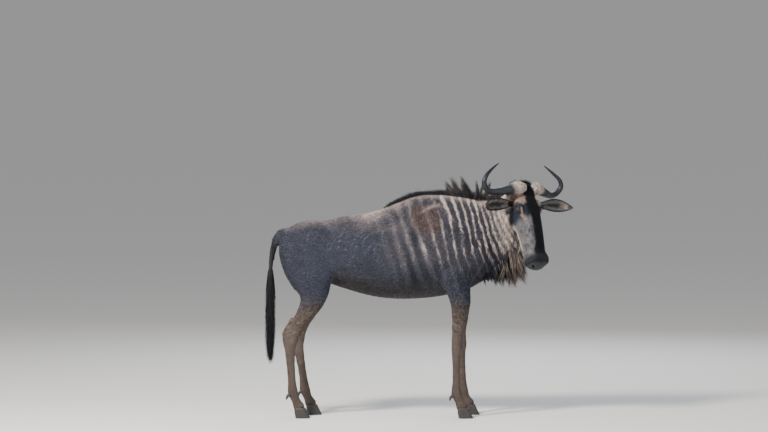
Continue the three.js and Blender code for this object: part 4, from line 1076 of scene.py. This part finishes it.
def coat_tree():
    """Nodes that set one tuft on each root, turned to its lie, as one real mesh."""
    tree = bpy.data.node_groups.new("coat_on_roots", "GeometryNodeTree")
    for name, kind in (("Roots", "Geometry"), ("Tuft", "Object"), ("Hair", "Material"),
                       ("Patch Size", "Float"), ("Size Spread", "Float"), ("Seed", "Int")):
        tree.interface.new_socket(name, in_out="INPUT", socket_type="NodeSocket" + kind)
    tree.interface.new_socket("Coat", in_out="OUTPUT", socket_type="NodeSocketGeometry")
    given, kept = node(tree, "NodeGroupInput"), node(tree, "NodeGroupOutput")
    lie, out, size, root_uv, patch = [
        node(tree, "GeometryNodeInputNamedAttribute", {"Name": name}, data_type="FLOAT_VECTOR")
        for name in ("lie", "out", "size", "root_uv", "patch")]
    points = node(tree, "GeometryNodeMeshToPoints")
    tuft = node(tree, "GeometryNodeObjectInfo", {"As Instance": True})
    turn = node(tree, "FunctionNodeAxesToRotation", primary_axis="X", secondary_axis="Z")
    low = node(tree, "ShaderNodeMath", {0: 1.0}, operation="SUBTRACT")
    high = node(tree, "ShaderNodeMath", {0: 1.0}, operation="ADD")
    spread = node(tree, "FunctionNodeRandomValue", data_type="FLOAT")
    grown = node(tree, "ShaderNodeVectorMath", operation="SCALE")
    each = node(tree, "GeometryNodeInstanceOnPoints")
    real = node(tree, "GeometryNodeRealizeInstances")
    within = node(tree, "ShaderNodeVectorMath", operation="SCALE")
    spot = node(tree, "ShaderNodeVectorMath", operation="ADD")
    store = node(tree, "GeometryNodeStoreNamedAttribute", {"Name": "OFBake"},
                 data_type="FLOAT2", domain="CORNER")
    dress = node(tree, "GeometryNodeSetMaterial")
    least, most = open_socket(spread.inputs, "Min"), open_socket(spread.inputs, "Max")
    wire(tree,
         (given, "Roots", points, "Mesh"), (given, "Tuft", tuft, "Object"),
         (lie, "Attribute", turn, "Primary Axis"), (out, "Attribute", turn, "Secondary Axis"),
         (given, "Size Spread", low, 1), (given, "Size Spread", high, 1),
         (low, "Value", spread, least), (high, "Value", spread, most),
         (given, "Seed", spread, "Seed"), (size, "Attribute", grown, 0),
         (spread, open_socket(spread.outputs, "Value"), grown, "Scale"),
         (points, "Points", each, "Points"), (tuft, "Geometry", each, "Instance"),
         (turn, "Rotation", each, "Rotation"), (grown, "Vector", each, "Scale"),
         (each, "Instances", real, "Geometry"), (patch, "Attribute", within, 0),
         (given, "Patch Size", within, "Scale"), (root_uv, "Attribute", spot, 0),
         (within, "Vector", spot, 1), (real, "Geometry", store, "Geometry"),
         (spot, "Vector", store, open_socket(store.inputs, "Value")),
         (store, "Geometry", dress, "Geometry"), (given, "Hair", dress, "Material"),
         (dress, "Geometry", kept, "Coat"))
    return tree


coat_on_roots = coat_tree()
coat_hair = hair_material("short_coat", 0.58)
BAKE_PATCH = 0.003
DARKEST = 0.004


def coat_piece(name, at, out, face, lie, size, tint, tuft, seed):
    """One piece of the coat: a tuft of the given length and width on each root."""
    roots = bpy.data.meshes.new(name)
    roots.vertices.add(len(at))
    roots.vertices.foreach_set("co", (at + place).ravel())
    flat = np.column_stack([unwrapped(at, face), np.zeros(len(at))])
    values = {"lie": lie, "out": out, "size": size, "tint": np.clip(tint, DARKEST, 1), "root_uv": flat}
    for label, value in values.items():
        paint_attribute(roots, label, value)
    grown = added(name + "_roots", roots)
    nodes = grown.modifiers.new("coat", "NODES")
    nodes.node_group = coat_on_roots
    given = {"Tuft": tuft, "Hair": coat_hair, "Patch Size": BAKE_PATCH, "Size Spread": 0.25, "Seed": seed}
    for socket in coat_on_roots.interface.items_tree:
        if socket.in_out == "INPUT" and socket.name in given:
            nodes[socket.identifier] = given[socket.name]
    whole = bpy.data.meshes.new_from_object(
        grown.evaluated_get(bpy.context.evaluated_depsgraph_get()))
    grown.modifiers.clear()
    bpy.data.objects.remove(grown)
    for label in ("lie", "out", "size", "root_uv"):
        if label in whole.attributes:
            whole.attributes.remove(whole.attributes[label])
    whole.name = name
    obj = added(name, whole)
    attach(obj, "root")


x, y, z = triangle_at.T
on_leg = (z < 0.72) & (np.abs(y) > 0.03)
on_face = triangle_face > 0.5
on_trunk = ~on_leg & ~on_face & (x > -0.76)
BODY_COAT = {
    "haunch": x < -0.42, "barrel": (x >= -0.42) & (x < 0.02), "shoulder": (x >= 0.02) & (x < 0.36),
    "neck": x >= 0.36}
BODY_TUFTS, HEAD_TUFTS, LEG_TUFTS = 17000, 39000, 40000
for number, (name, part) in enumerate(BODY_COAT.items()):
    at, out, face = scatter(BODY_TUFTS, (on_trunk & part).astype(float))
    lie = hair_lie(at, out, face)
    long = 0.019 + 0.011 * soft(at[:, 0], 0.3, 0.6) + 0.006 * soft(-out[:, 2], 0.3, 0.8)
    size = np.column_stack([long, np.full(len(at), 0.0046), long])
    tint = markings(at, out, face) * (1 + 0.14 * random.normal(size=(len(at), 1)))
    coat_piece("coat_" + name, at, out, face, lie, size, tint, bent_tuft, 20 + number)

place_on_head = head_coordinates(triangle_at)
bare = np.zeros(len(triangle_at), bool)
for _, hand in HANDS:
    gaze, slit, over = eye_axes(hand)
    from_eye = place_on_head - EYE_AT * [1, hand, 1]
    bare |= (np.hypot(from_eye @ slit / 0.021, from_eye @ over / 0.0135) < 1) & (from_eye @ gaze > 0)
bare |= (place_on_head[:, 0] > 0.5) & (place_on_head[:, 2] > -0.12)
nostril, mouth = pressed_in(triangle_at)
bare |= (nostril > 0.1) | (mouth > 0.6)
at, out, face = scatter(HEAD_TUFTS, (on_face & ~bare & (place_on_head[:, 0] > -0.08)).astype(float))
d, side, up = head_coordinates(at).T
blaze = soft(out @ browward, 0.45, 0.75) * (1 - soft(np.abs(side), 0.04, 0.06))
long = 0.0085 + 0.008 * blaze * (1 - soft(d, 0.38, 0.46)) + 0.006 * soft(-d, -0.1, 0.0)
size = np.column_stack([long, 0.0021 + 0.0006 * blaze, long])
tint = markings(at, out, face) * (1 + 0.16 * random.normal(size=(len(at), 1)))
coat_piece("coat_head", at, out, face, hair_lie(at, out, face), size, tint, spike_tuft, 31)

at, out, face = scatter(LEG_TUFTS, on_leg * (0.6 + 0.8 * (z < 0.4)) * (z > CORONET * MM))
long = 0.0065 + 0.008 * soft(at[:, 2], 0.4, 0.72)
size = np.column_stack([long, np.full(len(at), 0.0025), long])
tint = markings(at, out, face) * (1 + 0.14 * random.normal(size=(len(at), 1)))
lie = hair_lie(at, out, face)
coat_piece("coat_legs", at, out, face, lie, size, tint, spike_tuft, 32)
bpy.data.objects.remove(bent_tuft)
bpy.data.objects.remove(spike_tuft)

# MANE AND CREST
# Long coarse black hair, lying back along the hump and standing in loose wisps on the neck.
STRAND_STEPS = np.array([0.0, 0.22, 0.46, 0.72])
STRAND_SWELL = np.array([0.75, 1.0, 0.8, 0.45])
long_hair = hair_material("long_coarse_hair", 0.5)


def strand_piece(name, at, way, bend, long, wide, tint, flat):
    """Tapered three-sided strands as one mesh, each bending from its way towards its bend."""
    side = np.cross(way, random.normal(size=way.shape))
    side /= np.linalg.norm(side, axis=1)[:, None]
    other = np.cross(way, side)
    other /= np.linalg.norm(other, axis=1)[:, None]
    rings, patches = [], []
    for t, swell in zip(STRAND_STEPS, STRAND_SWELL):
        middle = at + (way * t + bend * t * t) * long[:, None]
        for i in range(3):
            a = 2 * math.pi * i / 3
            rings.append(middle + (side * math.cos(a) + other * math.sin(a)) * (wide * swell / 2))
            patches.append((i / 2, t, 0))
    rings.append(at + (way + bend) * long[:, None])
    patches.append((0.5, 1.0, 0))
    each = len(rings)
    points = np.stack(rings, axis=1).reshape(-1, 3) + place
    pattern = [(0, 2, 1)]
    for r in range(len(STRAND_STEPS) - 1):
        for i in range(3):
            a, b = r * 3 + i, r * 3 + (i + 1) % 3
            pattern += [(a, b, b + 3), (a, b + 3, a + 3)]
    top = (len(STRAND_STEPS) - 1) * 3
    pattern += [(top, top + 1, each - 1), (top + 1, top + 2, each - 1), (top + 2, top, each - 1)]
    faces = (np.array(pattern)[None] + np.arange(len(at))[:, None, None] * each).reshape(-1, 3)
    mesh = mesh_from(name, points, faces)
    patch = np.tile(np.array(patches), (len(at), 1))
    paint_attribute(mesh, "patch", patch)
    paint_attribute(mesh, "tint", np.repeat(np.clip(tint, DARKEST, 1), each, axis=0))
    spots = np.repeat(flat, each, axis=0) + patch[:, :2] * BAKE_PATCH
    uv = mesh.uv_layers.new(name="OFBake")
    uv.data.foreach_set("uv", spots[faces.ravel()].astype(np.float32).ravel())
    put(name, mesh, long_hair, [])


# Rows are x, the length of the crest there, and how far it leans forward for a rise of one.
crest_rows = np.array([
    [-0.13, 0.012, -3], [-0.065, 0.018, -3], [0.0, 0.05, -2.8], [0.12, 0.064, -2.4],
    [0.30, 0.078, -1.5], [0.35, 0.075, -1.0], [0.42, 0.080, -0.7], [0.50, 0.080, -0.3],
    [0.56, 0.070, -0.3], [0.62, 0.055, -0.8], [0.78, 0.045, -1.0]])
CREST_HAIRS = 3800
ridge_y = middle_of(x)[0]
on_ridge = (np.abs(y - ridge_y) < 0.012) & (triangle_out[:, 2] > 0.75)
on_ridge &= (x > -0.065) & (x < 0.77) & (z > 1.2)
at, out, face = scatter(CREST_HAIRS, on_ridge * (0.7 + 0.5 * (x > 0.3)))
long = np.interp(at[:, 0], crest_rows[:, 0], crest_rows[:, 1]) * (0.55 + 0.45 * random.random(len(at)))
lean = np.interp(at[:, 0], crest_rows[:, 0], crest_rows[:, 2])
way = np.column_stack([lean, 0 * lean, np.ones(len(at))])
way = unit(way + random.normal(size=at.shape) * 0.12)
bend = random.normal(size=at.shape) * 0.06 - [0, 0, 0.08]
# The standing wisps fan out from back-leaning to forward-leaning, each a bunch that closes to a point.
WISPS, WISP_HAIRS = 12, 58
wisp_x = np.linspace(0.37, 0.585, WISPS) + 0.005 * random.normal(size=WISPS)
wisp_long = np.interp(wisp_x, [0.37, 0.41, 0.48, 0.55, 0.585], [0.120, 0.165, 0.160, 0.155, 0.10])
wisp_long *= 0.85 + 0.2 * random.random(WISPS)
wisp_lean = np.interp(wisp_x, [0.37, 0.42, 0.48, 0.54, 0.585], [-0.70, -0.55, -0.15, 0.35, 0.45])
off_ridge = 4 * np.abs(triangle_at[:, 1]) + 50 * (triangle_out[:, 2] < 0.8)
near_ridge = np.argmin(np.abs(triangle_at[:, 0] - wisp_x[:, None]) + off_ridge, axis=1)
wisp_at = np.repeat(triangle_at[near_ridge], WISP_HAIRS, axis=0)
root_way = random.normal(size=wisp_at.shape) * [0.0075, 0.006, 0]
wisp_way = np.column_stack([wisp_lean, 0.14 * random.normal(size=WISPS), np.ones(WISPS)])
wisp_way = unit(wisp_way + 0.1 * random.normal(size=wisp_way.shape))
wisp_way = np.repeat(wisp_way, WISP_HAIRS, axis=0)
length = np.repeat(wisp_long, WISP_HAIRS) * (1.0 - 0.5 * random.random(len(wisp_at)) ** 1.6)
curl = np.repeat(0.16 * random.normal(size=(WISPS, 3)) * [1, 0.6, 0], WISP_HAIRS, axis=0)
at = np.vstack([at - out * 0.004, wisp_at + root_way - [0, 0, 0.006]])
way = np.vstack([way, unit(wisp_way + 0.035 * random.normal(size=wisp_at.shape))])
bend = np.vstack([bend, curl - root_way / length[:, None] * 0.9])
long = np.concatenate([long, length])
tint = np.tile(BLACK_HAIR_AND_SHADE, (len(at), 1)) * (1 + 0.6 * random.random((len(at), 1)))
brown = (random.random(len(at)) < 0.22) & (at[:, 0] > 0.33)
tint = np.where(brown[:, None], np.array([0.14, 0.11, 0.10]), tint)
strand_piece("mane", at, way, bend, long, 0.0026, tint, unwrapped(at, np.zeros(len(at))))

# BEARD
# Long black hair hanging from throat and lower neck, with paler strands nearer the jaw.
# Rows are x and the length of the hair there. It hangs in locks, which close towards their ends.
beard_rows = np.array([
    [0.47, 0.05], [0.505, 0.075], [0.57, 0.095], [0.64, 0.140], [0.70, 0.195], [0.742, 0.225],
    [0.79, 0.20], [0.86, 0.12]])
BEARD_HAIRS = 8000
LOCK_LONG, LOCK_WIDE = 0.016, 0.03
under = (np.abs(y - ridge_y) < 0.052) & (triangle_out[:, 2] < -0.2)
under &= (x > 0.47) & (x < 0.84) & (z > 0.88)
jaw = (place_on_head[:, 0] > 0.23) & (place_on_head[:, 0] < 0.37) & (place_on_head[:, 2] < -0.125)
at, out, face = scatter(BEARD_HAIRS, (under & ~on_face & (z < 1.12)) * 1.0 + 0.5 * (jaw & on_face))
lock = np.floor(at[:, 0] / LOCK_LONG).astype(int) + 40 * np.round(at[:, 1] / LOCK_WIDE).astype(int)
lock_turn = np.random.default_rng(8).normal(size=(400, 3))[lock % 400]
long = np.interp(at[:, 0], beard_rows[:, 0], beard_rows[:, 1]) * (0.45 + 0.55 * random.random(len(at)))
lowest = 0.80 + 0.05 * np.abs(lock_turn[:, 2]) + 0.05 * random.random(len(at))
lowest += 0.10 * soft(at[:, 0], 0.74, 0.80)
long = np.minimum(long, np.maximum(at[:, 2] - lowest, 0.03))
long = np.where(face > 0.5, 0.045 + 0.03 * random.random(len(at)), long)
way = np.array([0.08, 0, -1]) + out * 0.2 + lock_turn * [0.08, 0.10, 0]
way = unit(way + random.normal(size=at.shape) * 0.05)
_, lock = np.unique(lock, return_inverse=True)
lock_middle = np.array([np.bincount(lock, at[:, i]) for i in range(3)]).T / np.bincount(lock)[:, None]
gather = (lock_middle[lock] - at) * [1, 1, 0] / np.maximum(long, 0.05)[:, None]
bend = np.array([0.03, 0, -0.12]) + lock_turn * [0.10, 0.06, 0.0] + 0.9 * gather
kind = random.random(len(at))
forward = soft(at[:, 0], 0.62, 0.74)
tint = np.tile(BLACK_HAIR_AND_SHADE, (len(at), 1))
tint = np.where((kind < 0.35 + 0.25 * forward)[:, None], np.array([0.045, 0.045, 0.058]), tint)
tint = np.where((kind < 0.05 + 0.30 * forward)[:, None], np.array([0.27, 0.21, 0.18]), tint)
tint = tint * (0.75 + 0.6 * random.random((len(at), 1)))
strand_piece("beard", at - out * 0.004, way, bend, long, 0.0030, tint, unwrapped(at, face))

# FOREHEAD, BLAZE AND LASHES
# Coarse black hair between the horn bosses and down the face, and short stiff lashes over the eyes.
FOREHEAD_HAIRS, LASHES = 5000, 26
front = (place_on_head[:, 0] > -0.06) & (place_on_head[:, 0] < 0.4) & (triangle_out @ browward > 0.35)
front &= np.abs(place_on_head[:, 1]) < 0.042 - 0.014 * soft(place_on_head[:, 0], 0.12, 0.22)
at, out, face = scatter(FOREHEAD_HAIRS, front * (1.0 + 2.5 * (place_on_head[:, 0] < 0.05)))
d = head_coordinates(at)[:, 0]
long = 0.020 + 0.036 * (1 - soft(d, 0.0, 0.07)) - 0.006 * soft(d, 0.3, 0.4)
long *= 0.6 + 0.4 * random.random(len(at))
stand = 0.55 + 0.9 * (1 - soft(d, 0, 0.06))
way = noseward + (out - 0.35 * head_left) * stand[:, None]
way = unit(way + 0.16 * random.normal(size=at.shape))
bend = -0.35 * out + 0.1 * random.normal(size=at.shape)
tint = np.tile(BLACK_HAIR_AND_SHADE, (len(at), 1)) * (0.9 + 0.7 * random.random((len(at), 1)))
strand_piece("forehead_hair", at - out * 0.003, way, bend, long, 0.0020, tint, unwrapped(at, face))
lash_at, lash_way = [], []
for _, hand in HANDS:
    gaze, slit, over = eye_axes(hand)
    for angle in np.linspace(0.5, math.pi - 0.5, LASHES):
        spread = slit * 0.95 * math.cos(angle) + over * 0.58 * math.sin(angle)
        lash_at.append(EYE_AT * [1, hand, 1] + spread * 0.018 + gaze * 0.0175)
        lash_way.append(gaze * 0.9 + spread * 0.8)
lash_at = on_head(np.array(lash_at))
lash_way = unit(np.array(lash_way) @ head_axes)
droop = -0.3 * np.tile(head_up, (len(lash_at), 1))
tint = np.tile(BLACK_HAIR_AND_SHADE, (len(lash_at), 1))
flat = unwrapped(lash_at, np.ones(len(lash_at)))
strand_piece("lashes", lash_at, lash_way, droop, np.full(len(lash_at), 0.014), 0.0011, tint, flat)

# EAR HAIR
# Pale grey hair fringing the inside of each ear, from its lower and front edges.
EAR_HAIRS = 420
cup_t, cup_width, cup_wrap = np.array(ear_rows, float).T
for name, hand in HANDS:
    root, out_way, face_way, tall = ears[hand]
    t = 0.12 + 0.62 * random.random(EAR_HAIRS)
    width = np.interp(t, cup_t, cup_width) * MM
    wrap = np.interp(t, cup_t, cup_wrap)
    inner = width / 2 / np.sin(np.minimum(wrap, math.pi / 2)) - EAR_WALL * 0.8
    angle = wrap * (0.35 + 0.5 * random.random(EAR_HAIRS))
    angle *= np.where(random.random(EAR_HAIRS) < 0.5, 1, -1)
    inward = np.outer(np.cos(angle), face_way) - np.outer(np.sin(angle), tall)
    centre = root + np.outer(EAR_LENGTH * t, out_way)
    centre -= np.outer(EAR_SAG * hand * np.sin(math.pi * t), tall)
    at = centre - inner[:, None] * inward
    way = unit(inward * 0.6 + out_way * 0.8 + 0.15 * random.normal(size=at.shape))
    bend = 0.3 * out_way + 0.12 * random.normal(size=at.shape)
    tint = np.array([0.30, 0.28, 0.27]) * (0.5 + 0.7 * random.random((EAR_HAIRS, 1)))
    long = 0.018 + 0.016 * random.random(EAR_HAIRS)
    flat = np.column_stack([0.3 + 0.4 * t, np.full(EAR_HAIRS, 0.775)])
    strand_piece("ear_hair_" + name, at, way, bend, long, 0.0016, tint, flat)

# TAIL BRUSH
# A horse-like brush of long black hair around the dock, reaching to the hocks.
BRUSH_HAIRS = 3800
high = 0.94 - 0.42 * random.random(BRUSH_HAIRS) ** 1.15
around = random.random(BRUSH_HAIRS) * 2 * math.pi
round_out = np.column_stack([np.cos(around), np.sin(around), np.zeros(BRUSH_HAIRS)])
dock_x = np.interp(high, [0.33, 0.52, 0.70, 0.86, 0.96], [-0.781, -0.782, -0.782, -0.781, -0.779])
at = np.column_stack([dock_x, np.zeros(BRUSH_HAIRS), high]) + round_out * 0.008
long = 0.10 + 0.24 * random.random(BRUSH_HAIRS)
long = np.minimum(long, high - 0.325 - 0.05 * random.random(BRUSH_HAIRS))
lean = 0.03 + 0.27 * random.random(BRUSH_HAIRS) ** 1.5 * soft(high, 0.5, 0.6)
way = np.array([0, 0, -1.0]) + round_out * lean[:, None]
way = unit(way + random.normal(size=at.shape) * 0.035)
bend = -round_out * (lean * 0.95 + 0.03)[:, None] + random.normal(size=at.shape) * 0.02
tint = np.tile(BLACK_HAIR_AND_SHADE, (BRUSH_HAIRS, 1)) * (0.8 + 0.8 * random.random((BRUSH_HAIRS, 1)))
flat = np.column_stack([0.01 + 0.97 * around / (2 * math.pi), 0.545 + 0.02 * (high - 0.5)])
strand_piece("tail_brush", at, way, bend, long, 0.003, tint, flat)
